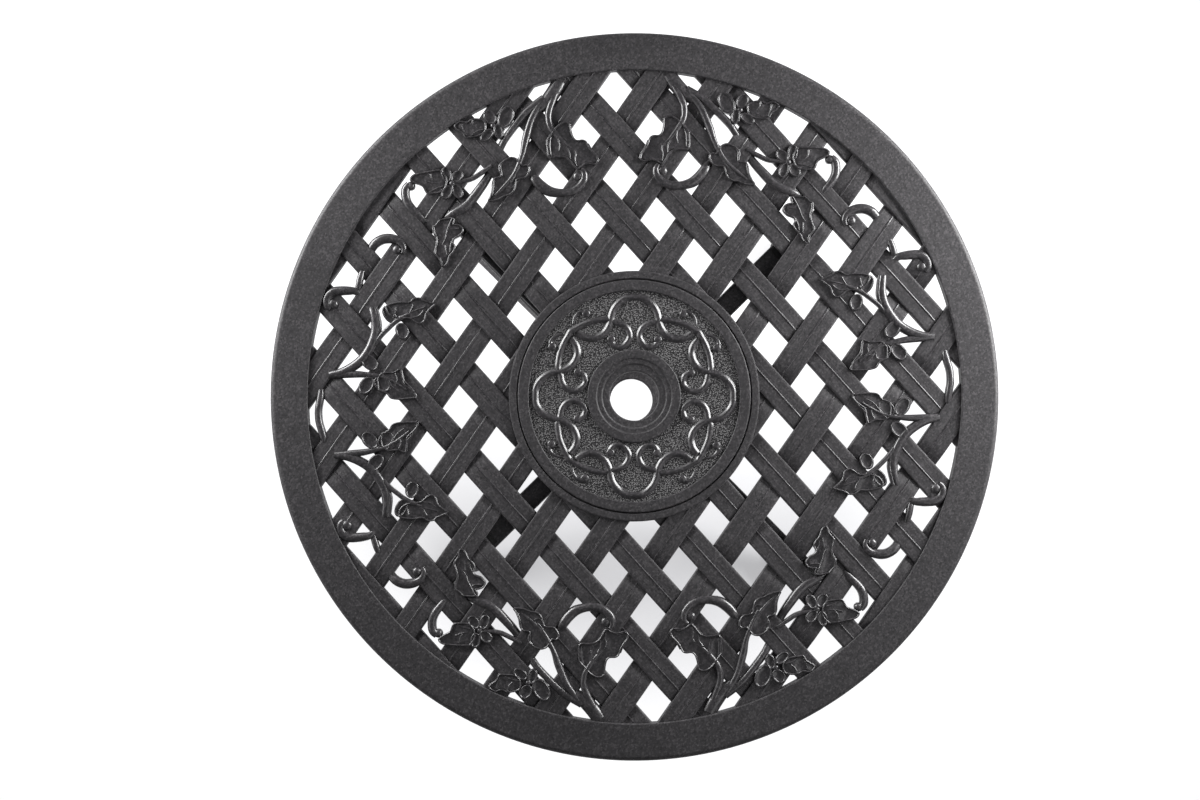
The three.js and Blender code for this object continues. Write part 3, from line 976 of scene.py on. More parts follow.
@dataclass
class HubSeat:
    """The ring in the middle of the lattice, with the ledge that carries the medallion."""

    outer: float = 105.0
    inner: float = 98.2
    ledge_inner: float = 84.0
    top: float = 539.5
    ledge_top: float = 531.0
    low: float = 526.0
    edge: float = 0.9
    steps: int = 144

    def build(self) -> Form:
        """Spins the seat.

        Returns:
            The seat.
        """
        edge, top, ledge = self.edge, self.top, self.ledge_inner
        return Form().lathe([
            (self.outer, self.low), (self.outer, top - edge * 1.4),
            (self.outer - edge * 0.4, top - edge * 0.4), (self.outer - edge * 1.4, top),
            (self.inner + edge, top), (self.inner, top - edge),
            (self.inner, self.ledge_top), (ledge + edge, self.ledge_top), (ledge, self.ledge_top - edge),
            (ledge, self.low + edge), (ledge + edge, self.low)], self.steps)


FLANK_SHARES = ((0.93, 0.06), (0.84, 0.19), (0.66, 0.46), (0.48, 0.71), (0.36, 0.84), (0.24, 0.93),
                (0.12, 0.98))


def ridge(line: Sequence[Pair], each: int, halves: Pair, crests: Pair, foot: float, steep: float) -> Form:
    """Raises a ridge with straight flanks and a soft crest along a line.

    Args:
        line: The line in plan.
        each: How many steps there are between its points.
        halves: Half the ridge's width at its start and at its end.
        crests: The level of its crest at its start and at its end.
        foot: The level of its underside.
        steep: How far it rises over half its width.

    Returns:
        The ridge.
    """
    points = smooth_route(line, each)
    last = len(points) - 1

    def section(at: int) -> list[Pair]:
        """Draws the ridge's section at a station."""
        half, crest = (start + (end - start) * at / last for start, end in (halves, crests))
        rise = half * steep
        right = [(half, foot), (half, crest - rise)]
        right += [(half * across, crest - rise + rise * up) for across, up in FLANK_SHARES]
        return both_sides(right, [(0.0, crest)])

    return Form().tube(level_stations(points), section)


@dataclass(frozen=True)
class Stem:
    """One stem of the vine: the route's points, each with its half-width and its crest above the ground."""

    route: tuple[tuple[float, float, float, float], ...]


@dataclass(frozen=True)
class Leaf:
    """One leaf or petal: its outline, its folds in plan, and whether it is a cup with a raised edge."""

    outline: tuple[Pair, ...]
    folds: tuple[tuple[Pair, ...], ...] = ()
    cupped: bool = False


STEMS = (
    Stem(((46, 268, 6, 5), (51, 260, 6.3, 5.6), (58, 251.5, 6, 5.6), (66, 245, 4.2, 5.2))),
    Stem(((60, 254.5, 3.3, 5.4), (76, 243, 3.3, 5.7), (93, 224, 2.9, 5.4), (100, 212.8, 2.8, 2.7),
        (105, 204, 3, 2.1), (110, 193.5, 3.4, 2.9), (117, 183.5, 3.8, 5.6), (130, 169, 4.2, 6),
        (143, 162.2, 3.7, 4.8), (152, 158.8, 1.0, 0.7))),
    Stem(((84, 236.5, 1.2, 4.4), (93, 227, 1.4, 4.4), (100.5, 217, 1.1, 2.9))),
    Stem(((60, 254.5, 3.0, 5.4), (71, 238, 3.0, 6), (77.3, 221, 3.3, 6), (81, 208, 2.3, 6),
        (88, 193, 2.0, 6), (96, 184, 1.7, 6), (106, 175, 1.1, 5.2))),
    Stem(((50, 258, 2.9, 5.4), (55, 247, 3.0, 6), (57.2, 239, 2.9, 6), (56, 230, 2.7, 6),
        (50.5, 221.5, 2.4, 6), (46, 216.3, 1.9, 5.8), (42.2, 212.4, 1.3, 5.4), (38, 210, 0.8, 4.8))),
    Stem(((56.4, 221.4, 1.1, 5), (58, 216.5, 1.7, 5.8), (58.3, 211, 1.8, 5.8), (57.4, 205.6, 1.2, 5.2))),
    Stem(((41.5, 262, 1.8, 0.3), (43.5, 259.5, 1.8, 0.3), (46, 256.3, 1.4, 0.3))),
    Stem(((49, 252.3, 1.3, 0.3), (50.5, 250, 1.8, 0.3), (53, 246, 1.8, 0.3))),
    Stem(((79, 197, 2.6, 2.0), (75, 192, 3.2, 3), (71.6, 186.9, 4.2, 5.4), (67, 181.3, 4.6, 5.8),
        (60.9, 176.6, 4.4, 5.8), (54.3, 174.5, 3.8, 5.8), (47.5, 173.8, 3.7, 5.8), (40.5, 175, 3.6, 5.8),
        (34.5, 178.6, 3.5, 5.8), (30.6, 184, 3.3, 5.8), (30.2, 189.5, 2.6, 5.6), (32.5, 192.8, 1.8, 5.2))),
    Stem(((166, 157, 2.8, 2.5), (171, 163, 3.2, 4.6), (176, 168.5, 3.6, 5.6), (179.6, 174, 3.7, 5.8),
        (181, 180, 3.7, 5.8), (180.4, 185.6, 3.6, 5.8), (177.3, 189.6, 2.8, 5.4))),
    Stem(((219, 125, 2.6, 2.4), (216.5, 130, 3.1, 2.7), (213.6, 135.8, 3.7, 3), (209, 141.4, 4.0, 5.4),
        (202.9, 144.6, 4.1, 5.8), (196.9, 145, 4.1, 5.8), (190.8, 143.6, 3.5, 5.8),
        (186.8, 140.3, 2.9, 5.7), (185, 136, 2.4, 5.5), (186.2, 131.8, 1.7, 5))),
    Stem(((254, 33.8, 3.2, 4.6), (250.2, 34.2, 3.4, 5.2), (243.4, 35.4, 3.6, 5.8), (234.3, 39.3, 3.9, 6),
        (225.3, 45.6, 4.1, 6), (218.5, 54.6, 4.2, 6), (213.9, 64.8, 4.1, 6), (212.6, 73.9, 3.8, 6),
        (213.8, 83.5, 3.3, 5.4), (217, 91, 2.8, 2.7), (222, 97, 2.6, 2.5), (228, 102.4, 3.0, 5.2),
        (234, 103.4, 3.7, 5.8), (240, 103.7, 3.9, 6), (246, 103.2, 4.0, 6), (250.5, 100.5, 4.0, 6),
        (252.6, 96.2, 3.9, 6), (252.2, 91.8, 3.4, 5.6), (249.8, 89, 2.4, 5))),
    Stem(((226.6, 100, 2.2, 2.5), (224.8, 107, 2.8, 4.8), (223, 114, 2.8, 4.6), (220.5, 121, 2.2, 2.4))),
    Stem(((254, 33.6, 3, 4.6), (247, 33.6, 3, 5.2), (239, 33.2, 3, 5.6), (229, 32.7, 2.8, 5.8),
        (220, 31.5, 2.2, 6), (210, 29.5, 1.6, 6), (200, 24.5, 1.3, 6), (190, 17.5, 0.9, 5.6))),
    Stem(((183, 81, 1.2, 5.6), (189, 78.5, 1.6, 6), (197, 74, 1.9, 6), (203, 69, 1.9, 6),
        (209, 63.5, 1.9, 5.8), (214, 57, 1.8, 5))),
    Stem(((211.5, 88, 1.4, 5), (209.9, 80, 1.5, 5.6), (209, 71.5, 1.5, 5.6), (211, 63, 1.3, 5))),
    Stem(((107, 200.5, 1.6, 4.4), (116.4, 195, 1.9, 5), (123, 191.3, 1.9, 5.2), (129.5, 189.4, 1.8, 5.4),
        (138, 188.3, 1.5, 5.4))),
)

BOW = Stem(((262, 22, 2.4, 3.8), (262.2, 18, 2.9, 5), (263.4, 12, 3.1, 5.6), (264.8, 6, 3.1, 5.8),
    (265.2, 0, 3.1, 5.8), (264.8, -6, 3.1, 5.8), (263.4, -12, 3.1, 5.6), (262.2, -18, 2.9, 5),
    (262, -22, 2.4, 3.8)))

LEAVES = (
    Leaf(((39.5, 231.5), (38.5, 224), (36.5, 219), (33.5, 217), (29, 217), (26, 215), (24, 210),
        (21, 205.5), (18, 202), (17, 198.5), (20, 195.5), (26, 196.5), (31, 195), (35, 192.5), (38, 195),
        (41.5, 200), (46, 203), (52, 203.8), (58, 203.5), (60, 206), (60.3, 212), (60.3, 218), (58, 221.5),
        (55.5, 224.5), (52, 229), (47, 232.5), (43, 233)), (((17.4, 198.6), (19, 203), (22.6, 208.2),
        (25, 213.6)), ((37, 208), (36, 205), (37, 200.5), (36, 195.5)), ((49.8, 219.5), (49.2, 214),
        (50, 209.5)), ((46.5, 204.2), (52, 205), (57, 204.6)), ((44, 212), (41.4, 207.5), (40.8, 202)),
        ((22, 197.2), (26, 198), (31, 196.6)))),
    Leaf(((85.5, 205), (89.8, 206.7), (94.4, 205.6), (98.2, 203.3), (100.9, 200.2), (101.3, 196.4),
        (100, 192.5), (102, 190.3), (105.9, 189.5), (108, 185.6), (108.5, 179.5), (110.5, 173.4),
        (112, 170.3), (104.3, 171), (98.2, 173.6), (93.6, 174.5), (89.8, 177.2), (88.2, 181), (86.7, 186.4),
        (84.4, 187.9), (79, 188.7), (76, 192.5), (75.2, 197.1), (77.5, 199.4), (81, 199)), (((98.4, 201.8),
        (100.2, 199), (99.3, 195), (99.2, 191.4)), ((75.9, 197.2), (75.8, 194), (77.4, 190.8)), ((92, 185),
        (88.8, 189), (86.4, 196)), ((95, 181.5), (91, 180.6), (87.6, 184.2)), ((106.6, 187.4), (107, 181),
        (108.6, 174.8)))),
    Leaf(((153.3, 158.2), (157.5, 154), (159.8, 152.1), (159.3, 146.5), (157.5, 140.9), (158.4, 134.4),
        (159.8, 129.7), (155.6, 124.1), (153.7, 118.1), (149.5, 120.4), (147.2, 126), (143.5, 129.7),
        (141.6, 134), (143.5, 138.1), (141.6, 141.4), (137.2, 143.6), (133.8, 147.6), (135.4, 151.6),
        (139.4, 153.3), (142.4, 153.6), (141.6, 159)), (((142.6, 158.6), (146, 152), (148.4, 146),
        (150, 140.6), (152.4, 137)), ((159.2, 152.4), (158.4, 147), (156.6, 141.4), (158, 134.8),
        (158.6, 130.4)), ((155.4, 125.6), (153.2, 121)), ((150.2, 136), (150, 131.6), (149.4, 128)),
        ((143.6, 139.6), (146, 134.6), (146.4, 130)), ((137.6, 149.4), (142.6, 149), (145.6, 150)))),
    Leaf(((150, 199.7), (160, 199.2), (169.6, 197.8), (174.2, 196.4), (176.6, 193.1), (173.3, 190.3),
        (166.8, 187), (163.5, 181), (160.3, 179.6), (154.7, 180), (149.5, 181), (146, 185), (145, 193)),
        (((158.8, 196.4), (157.8, 192), (154.6, 188)), ((162, 190.4), (156, 188.6), (150.6, 188.4)),
        ((149, 185.4), (154.6, 184), (160.6, 181.4)), ((148.6, 183.2), (152, 181.8)))),
    Leaf(((122, 240.7), (126.7, 238.3), (132.3, 239.3), (137, 234.6), (130.4, 229.5), (127.6, 224.8),
        (123, 224.8), (115, 226), (110, 230), (110, 238), (116, 240.5)), (((130.4, 236.4), (128.8, 231.4),
        (126.8, 227)), ((121.4, 239.6), (120, 235.4), (116.6, 232)), ((112, 231), (118, 229.6),
        (123, 226.4)))),
    Leaf(((160.7, 87.5), (170.9, 91.4), (173.1, 93.4), (178.8, 93.7), (183.3, 90.9), (191, 91.2),
        (201.5, 89.2), (203.7, 86.3), (200, 80), (192, 77), (184, 76.5), (176, 71.5), (170.9, 73.9),
        (168.6, 80.7)), (((179.6, 88.6), (181.4, 84.6), (183.6, 81.4)), ((194.8, 86.8), (195.4, 82.4),
        (197.4, 78)), ((170, 85.6), (177, 83.6), (184.4, 81.2)), ((171.6, 82.2), (176, 78.4),
        (183, 77.2)))),
    Leaf(((213.9, 18.4), (208.3, 16), (206, 13.8), (203.7, 10.7), (198, 9.3), (189, 9.5), (181.6, 10.4),
        (183.3, 15), (187.9, 19.5), (191.3, 22.9), (192.4, 30.8), (194, 35.4), (200.3, 33), (209, 33),
        (214, 28)), (((193.4, 33.6), (192.6, 28.6), (191.2, 24.4), (187.2, 20), (184, 15.6), (182.8, 11.6)),
        ((204.8, 27.4), (203.6, 23.6), (203.8, 19)), ((209.6, 31.4), (205.4, 27.6), (201, 20), (194, 14.6)),
        ((199, 31.2), (197.4, 26.6), (198.6, 22)))),
)


def petal(middle: Pair, size: Pair, lean: float) -> Leaf:
    """Draws a rounded petal, cupped like a spoon.

    Args:
        middle: Its middle.
        size: Half its length and half its width.
        lean: The bearing of its length, in degrees.

    Returns:
        The petal.
    """
    turn, corners = math.radians(lean), 12
    ahead = Vector((math.cos(turn), math.sin(turn)))
    left = Vector((-ahead.y, ahead.x))
    angles = [FULL_TURN * at / corners for at in range(corners)]
    points = [Vector(middle) + ahead * math.cos(angle) * size[0] + left * math.sin(angle) * size[1]
              for angle in angles]
    return Leaf(tuple((point.x, point.y) for point in points), cupped=True)


PETALS = (
    petal((136.5, 193), (6.3, 4.6), 135), petal((145.3, 195.5), (6.6, 4.4), 80),
    petal((137, 180.8), (6.7, 4.4), 245), petal((146, 180.3), (6.4, 4.7), 305),
    petal((92.8, 240.2), (10, 6.6), 118), petal((106, 241), (6.6, 5.2), 50),
    petal((99.6, 228.6), (6.4, 4.2), 255), petal((109.5, 226), (6.8, 4.2), 325),
    petal((190.5, 66.5), (7.2, 5.6), 250), petal((200.3, 81), (8.2, 5), 60),
    petal((223.3, 23), (8.4, 5.8), 310), petal((219.5, 42), (8.2, 5.8), 45),
    petal((210, 23.5), (7.8, 6), 225),
)

KNOBS = ((35.6, 187, 4.6, 5.6), (176, 187.8, 3.8, 5.7), (190.8, 135.2, 4.2, 5.9), (247.3, 93, 4.9, 5.6),
    (141.3, 187.6, 2.6, 5.9), (103.6, 233.8, 2.7, 5.9), (191, 77.6, 2.6, 5.9), (216.2, 30.6, 2.8, 5.9))


@dataclass
class VineOrnament:
    """The cast vine, drawn in one quarter and mirrored into all four."""

    base: float = 532.5
    ground: float = 534.0
    highest: float = 539.92
    leaf_levels: Pair = (538.3, 539.0)
    cup_levels: Pair = (539.3, 538.3)
    leaf_roll: float = 3.0
    leaf_brim: Pair = (0.7, 0.0)
    cup_brim: Pair = (0.85, 0.25)
    valley_depth: float = 0.55
    valley_span: Pair = (1.0, 4.5)
    crease: Pair = (1.6, 0.35)
    fold_half: float = 1.0
    fold_end: float = 0.4
    fold_steep: float = 0.85
    cell: float = 1.7
    stem_corners: int = 8

    def stem(self, stem: Stem) -> Form:
        """Makes a half-round stem.

        Args:
            stem: Its route.

        Returns:
            The stem.
        """
        points = smooth_route(stem.route, 5)
        angles = [math.pi * turn / self.stem_corners for turn in range(self.stem_corners + 1)]

        def section(at: int) -> list[Pair]:
            """Draws the half-round section at a station."""
            half = points[at][2]
            crest = min(self.ground + points[at][3], self.highest)
            bend = min(half * 0.95, (crest - self.base) * 0.75)
            back = [(half * math.cos(angle), crest - bend + bend * math.sin(angle)) for angle in angles]
            return [(half, self.base), *back, (-half, self.base)]

        return Form().tube(level_stations(points), section)

    def fold(self, line: Sequence[Pair], halves: Pair, lower: float = 0.0, drop: float = 0.0) -> Form:
        """Raises a fine fold, or the edge of a leaf or cup.

        Args:
            line: The line in plan.
            halves: Half its width at its start and at its end.
            lower: How far its crest stays below the highest level.
            drop: How far it sinks towards its end.

        Returns:
            The fold.
        """
        crest = self.highest - lower
        return ridge(line, 3, halves, (crest, crest - drop), self.base, self.fold_steep)

    def leaf(self, leaf: Leaf) -> Form:
        """Makes a leaf with a rolled edge and raised folds, or a petal with a raised edge.

        Args:
            leaf: Its lines.

        Returns:
            The leaf.
        """
        outline = smooth_route(leaf.outline, 3, closed=True)
        folds = [smooth_route(fold, 3) for fold in leaf.folds]
        edge_level, body_level = self.cup_levels if leaf.cupped else self.leaf_levels
        (valley_start, valley_end), (crease_half, crease_rise) = self.valley_span, self.crease

        def height(point: Vector) -> float:
            """Gives the top's level."""
            level = body_level - edge_level
            if folds:
                near = min(gap_to_line(point, line) for line in folds)
                level -= self.valley_depth * eased((near - valley_start) / (valley_end - valley_start))
                level += crease_rise * math.exp(-(near / crease_half) ** 2)
            return edge_level + level * eased(gap_to_line(point, outline, closed=True) / self.leaf_roll)

        form = Form().relief(outline, self.cell, height, self.base)
        middle = sum(map(Vector, leaf.outline), Vector((0.0, 0.0))) / len(leaf.outline)
        half, lower = self.cup_brim if leaf.cupped else self.leaf_brim
        brim = [tuple(middle + (Vector(point) - middle) * (1 - half / (Vector(point) - middle).length))
                for point in (*leaf.outline, leaf.outline[0])]
        form.add(self.fold(brim, (half, half), lower))
        for fold in leaf.folds:
            form.add(self.fold(fold, (self.fold_half, self.fold_half * 0.55), drop=self.fold_end))
        return form

    def knob(self, x: float, y: float, radius: float, crest: float) -> Form:
        """Makes the rounded knob at the end of a curl or in the eye of a flower.

        Args:
            x: Its place to the right.
            y: Its place away.
            radius: Its radius.
            crest: Its top above the ground.

        Returns:
            The knob.
        """
        top = min(self.ground + crest, self.highest)
        bend = min(radius * 0.9, (top - self.base) * 0.7)
        quarter = arc((0.0, 0.0), 1.0, 0, 90, 6)[:-1]
        dome = [(radius * across, top - bend + bend * up) for across, up in quarter]
        profile = [(0.0, self.base), (radius, self.base), *dome, (0.0, top)]
        return Form().add(Form().lathe(profile, 20, closed=False), Matrix.Translation((x, y, 0.0)))

    def quarters(self, parts: Iterable[Form]) -> Form:
        """Joins the parts of one quarter and mirrors them into all four.

        Args:
            parts: The parts of the first quarter.

        Returns:
            All four quarters.
        """
        quarter, whole = Form(), Form()
        for part in parts:
            quarter.add(part)
        for across in (1, -1):
            for away in (1, -1):
                whole.add(quarter, Matrix.Diagonal((across, away, 1, 1)))
        return whole

    def stems(self) -> Form:
        """Makes the stems, curls, knobs and the bows on the two sides.

        Returns:
            All of them.
        """
        whole = self.quarters([*map(self.stem, STEMS), *(self.knob(*knob) for knob in KNOBS)])
        for across in (1, -1):
            whole.add(self.stem(BOW), Matrix.Diagonal((across, 1, 1, 1)))
        return whole

    def foliage(self, leaves: Sequence[Leaf]) -> Form:
        """Makes leaves or petals in all four quarters."""
        return self.quarters(self.leaf(leaf) for leaf in leaves)


@dataclass
class TabletopCasting:
    """The one cast piece of the top, turned a few degrees against the legs."""

    turn: float = math.radians(4)
    rim: Rim = field(default_factory=Rim)
    lattice: WovenLattice = field(default_factory=WovenLattice)
    seat: HubSeat = field(default_factory=HubSeat)
    vines: VineOrnament = field(default_factory=VineOrnament)

    def build(self, dresses: dict[str, Dress]) -> None:
        """Builds and dresses the casting.

        Args:
            dresses: The table's finishes.
        """
        parts = (
            ("rim", self.rim.build(), "plain"),
            ("lattice", self.lattice.build(), "slat"),
            ("hub_seat", self.seat.build(), "plain"),
            ("vine_stems", self.vines.stems(), "relief"),
            ("vine_leaves", self.vines.foliage(LEAVES), "relief"),
            ("vine_flowers", self.vines.foliage(PETALS), "relief"),
        )
        for name, form, skin in parts:
            form.piece(f"tabletop_{name}", dresses[skin], "tabletop_casting", turn=self.turn)


# Medallion


@dataclass
class Medallion:
    """The cast scroll medallion with the stepped collar round the pole hole."""

    radius: float = 97.5
    border: float = 88.3
    top: float = 539.9
    low: float = 531.3
    ground: float = 538.2
    sunk: float = 536.5
    collar: float = 39.2
    bore: float = 20.5
    edge: float = 1.0
    chamfer: float = 0.6
    boss_low: float = 526.3
    boss_radius: float = 9.0
    boss_bore: float = 4.4
    boss_place: float = 70.0
    steps_at: Pair = (31.5, 26.9)
    step: float = 0.8
    rib_half: float = 3.1
    rib_top: float = 539.95
    rib_steep: float = 0.58
    knob_radius: float = 3.5
    overlap: float = 0.5
    steps: int = 144

    LOBE = ((0, 82.9), (6, 82.6), (11.1, 80), (15.5, 75.6), (18.1, 71.2), (19.6, 66.1), (20.3, 61.7),
            (22.1, 57.3), (25.1, 52.9), (29.5, 49.6), (34.6, 47.9), (39.1, 48.1), (43.4, 49.6), (47.8, 52.9))
    SCROLL = ((20.3, 47), (19.2, 44.8), (17, 42.2), (13.3, 40.8), (10.4, 41.1), (7.5, 43.3), (4.9, 47),
              (4, 50.7), (5.3, 55.1), (8.2, 58.7), (12.6, 60.9), (17, 61.7), (22.9, 63.9), (28, 63.7),
              (33.9, 62.8), (39, 61.3), (44.9, 58.7), (50, 55.8), (53.7, 53.7))
    COMMA = ((39.6, 68.6), (42.2, 70), (44.9, 70.5), (47.8, 69), (50.4, 65.3), (51.5, 60.2))
    KNOBS = ((19.6, 47.4), (47.4, 19.6), (40.8, 69), (69, 40.8))
    STEP_EDGE = ((0.75, 0.0), (0.4, 0.12), (0.0, 0.4), (-0.4, 0.68), (-0.75, 0.8))

    def relief(self) -> Form:
        """Makes the scroll relief: four lobes, four pairs of scrolls and their commas.

        Returns:
            The relief.
        """
        half, foot = self.rib_half, self.ground - 0.8

        def rib(line: Sequence[Pair], shares: Pair, drops: Pair) -> Form:
            """Raises a rib, with its width as shares of a lobe's and its crest below one's."""
            crests = (self.rib_top - drops[0], self.rib_top - drops[1])
            return ridge(line, 4, (half * shares[0], half * shares[1]), crests, foot, self.rib_steep)

        lobe = [*((-x, y) for x, y in reversed(self.LOBE[1:])), *self.LOBE]
        scroll = [*self.SCROLL, *((y, x) for x, y in reversed(self.SCROLL[:-1]))]
        one = Form()
        one.add(rib(lobe, (1.0, 1.0), (0.0, 0.0)))
        one.add(rib(scroll, (0.9, 0.9), (0.3, 0.3)))
        for comma in (self.COMMA, [(y, x) for x, y in self.COMMA]):
            one.add(rib(comma, (0.85, 0.3), (0.25, 1.2)))
        vine = VineOrnament(base=self.ground - self.overlap, ground=self.ground)
        for x, y in self.KNOBS:
            one.add(vine.knob(x, y, self.knob_radius, self.rib_top - self.ground))
        whole = Form()
        for quarter in range(4):
            whole.add(one, Matrix.Rotation(quarter * math.pi / 2, 4, "Z"))
        return whole

    def disc(self) -> Form:
        """Makes the disc with its border, its collar and the four screw bosses below.

        Returns:
            The disc.
        """
        top, edge, cut = self.top, self.edge, self.chamfer
        profile = [(self.radius - 0.7, self.low), (self.radius, self.low + 0.7), (self.radius, top - edge),
                   *arc((self.radius - edge, top - edge), edge, 0, 90, 4),
                   *arc((self.border + edge, top - edge), edge, 90, 180, 4),
                   (self.border, self.sunk), (self.collar, self.sunk),
                   *arc((self.collar - edge, top - edge), edge, 0, 90, 4)]
        for place in self.steps_at:
            profile += [(place + out, top - down) for out, down in self.STEP_EDGE]
            top -= self.step
        profile += [(self.bore + 1.1, top), (self.bore + 0.4, top - 0.3), (self.bore, top - edge),
                    (self.bore, self.low + cut), (self.bore + cut, self.low)]
        whole = Form().lathe(profile, self.steps)
        inside = self.low + 0.4
        boss = Form().lathe([(self.boss_bore, self.boss_low), (self.boss_radius - cut, self.boss_low),
                             (self.boss_radius, self.boss_low + cut), (self.boss_radius, inside),
                             (self.boss_bore, inside)], 36)
        out = Matrix.Translation((self.boss_place, 0, 0))
        for corner in Corner:
            whole.add(boss, Matrix.Rotation(corner.turn, 4, "Z") @ out)
        return whole

    def ground_plate(self) -> Form:
        """Makes the plate of pebbled ground between the collar and the border.

        Returns:
            The plate.
        """
        near, far, low = self.collar - self.overlap, self.border + self.overlap, self.sunk - self.overlap
        return Form().lathe([(near, low), (far, low), (far, self.ground), (near, self.ground)], self.steps)

    def build(self, dresses: dict[str, Dress]) -> None:
        """Builds and dresses the medallion.

        Args:
            dresses: The table's finishes.
        """
        node = "hub_medallion"
        self.disc().piece("medallion_disc", dresses["plain"], node)
        self.ground_plate().piece("medallion_ground", dresses["stipple"], node)
        self.relief().piece("medallion_scrolls", dresses["relief"], node, sharp=50)


# Legs


@dataclass
class Leg:
    """One cast leg: the arm below the top, the waist on the pole ring and the foot."""

    width: float = 18.0
    arm_top: float = 525.7
    pad_radius: float = 13.0
    pad_low: float = 515.7
    pad_place: float = 70.0
    pad_bore: float = 4.4
    pad_edge: float = 1.0
    waist: Pair = (48.3, 70.3)
    waist_levels: Pair = (250.0, 280.0)
    waist_edge: float = 2.2
    foot_place: float = 236.0
    foot_radius: float = 16.0
    foot_levels: Pair = (12.1, 39.1)
    insert: Pair = (6.5, 26.4)
    socket: Pair = (4.4, 32.3)

    ROUTE = ((79, 520.0, 11.2), (84, 518.3, 14.8), (100, 518.2, 15), (140, 518.2, 15), (176, 518.2, 15),
             (192, 516.4, 15), (204.5, 510.2, 15.4), (212, 500, 15.8), (214, 488.2, 16.2), (211.5, 463, 17),
             (203.2, 440.3, 17), (187, 417, 17), (167.6, 396.6, 17), (144.5, 374.8, 17), (121.2, 352.9, 17),
             (99, 331.5, 17), (81, 311.2, 17), (66.5, 293, 17), (59.6, 277, 17), (59.3, 265, 17),
             (59.6, 253, 17), (66, 225, 17), (78.7, 197.7, 17), (96.5, 165.5, 17), (117.6, 135.8, 17),
             (138.5, 106.5, 17), (161.8, 78.7, 17), (183, 58.5, 17.4), (204.2, 43, 18), (216, 35.2, 18.6),
             (228, 28.4, 19))
    LOWER_EDGE = ((3.0, 0.0), (2.6, 0.0), (1.2, 0.45), (0.4, 1.4), (0.0, 2.8), (0.0, 3.2))
    UPPER_EDGE = ((0.0, 4.4), (0.0, 4.0), (0.5, 2.6), (2.0, 1.5), (5.0, 0.75), (7.4, 0.3), (8.2, 0.0))
    FOOT_HEM = ((1.2, 0.0), (0.0, 1.2), (0.0, 4.5), (0.8, 5.4))
    FOOT_CROWN = ((0.9, 8.0), (1.6, 4.4), (4.2, 1.5), (8.5, 0.2))

    def bar(self) -> Form:
        """Draws the crested bar of the leg along its route.

        Returns:
            The bar.
        """
        points = smooth_route(self.ROUTE, 4)
        side = Vector((0.0, 1.0, 0.0))
        stations = []
        for point, along in zip(points, directions(points)):
            out = side.cross(Vector((along[0], 0.0, along[1])).normalized())
            stations.append(station(side, out, side.cross(out), (point[0], 0.0, point[1])))
        half = self.width / 2

        def section(at: int) -> list[Pair]:
            """Draws the bar's section at a station."""
            deep = points[at][2] / 2
            right = [(half - across, up - deep) for across, up in self.LOWER_EDGE]
            return both_sides(right + [(half - across, deep - down) for across, down in self.UPPER_EDGE])

        return Form().tube(stations, section)

    def pad(self) -> Form:
        """Makes the pad that the hub screw goes through."""
        low, high, outer, cut = self.pad_low, self.arm_top, self.pad_radius, self.pad_edge
        return Form().lathe([(self.pad_bore, low), (outer - cut, low), (outer, low + cut),
                             (outer, high - cut), (outer - cut, high), (self.pad_bore, high)], 48)

    def foot(self) -> Form:
        """Makes the foot with its socket for the insert and the stud.

        Returns:
            The foot.
        """
        (low, high), outer = self.foot_levels, self.foot_radius
        (insert, insert_top), (socket, socket_top) = self.insert, self.socket
        return Form().lathe([
            (insert, low), *((outer - across, low + up) for across, up in self.FOOT_HEM),
            *((outer - across, high - down) for across, down in self.FOOT_CROWN), (0.0, high),
            (0.0, socket_top), (socket, socket_top), (socket, insert_top), (insert, insert_top)],
            56, closed=False)

    def build(self, dresses: dict[str, Dress]) -> None:
        """Builds and dresses the four legs.

        Args:
            dresses: The table's finishes.
        """
        half = self.width / 2
        whole = self.bar().add(self.pad(), Matrix.Translation((self.pad_place, 0, 0)))
        whole.add(self.foot(), Matrix.Translation((self.foot_place, 0, 0)))
        (near, far), (low, high) = self.waist, self.waist_levels
        whole.add(Form().block((near, -half, low), (far, half, high), self.waist_edge, 3))
        set_at_corners(CornerPiece("leg", "casting", whole, dresses["plain"], 38))


@dataclass
class PoleRing:
    """The ring below the top that steadies the pole and ties the legs together."""

    bore: float = 20.5
    outer: float = 34.5
    low: float = 252.0
    high: float = 278.0
    cut: float = 1.0
    lug_start: float = 27.5
    lug: Triple = (48.0, 18.0, 22.0)
    lug_edge: float = 2.0

    EDGE = ((2.4, 0.0), (0.6, 0.8), (0.0, 2.6), (0.0, 7.0), (1.0, 8.2))

    def build(self, dresses: dict[str, Dress]) -> None:
        """Builds and dresses the ring.

        Args:
            dresses: The table's finishes.
        """
        bore, cut = self.bore, self.cut
        whole = Form().lathe([
            (bore + cut, self.low), *((self.outer - across, self.low + up) for across, up in self.EDGE),
            *((self.outer - across, self.high - down) for across, down in reversed(self.EDGE)),
            (bore + cut, self.high), (bore, self.high - cut), (bore, self.low + cut)], 96)
        reach, width, deep = self.lug
        low, high = (self.low + self.high - deep) / 2, (self.low + self.high + deep) / 2
        lug = Form().block((self.lug_start, -width / 2, low), (reach, width / 2, high), self.lug_edge, 3)
        for corner in Corner:
            whole.add(lug, Matrix.Rotation(corner.turn, 4, "Z"))
        whole.piece("pole_ring_casting", dresses["plain"], "lower_pole_ring")


# Fasteners, inserts, glides and bumpers


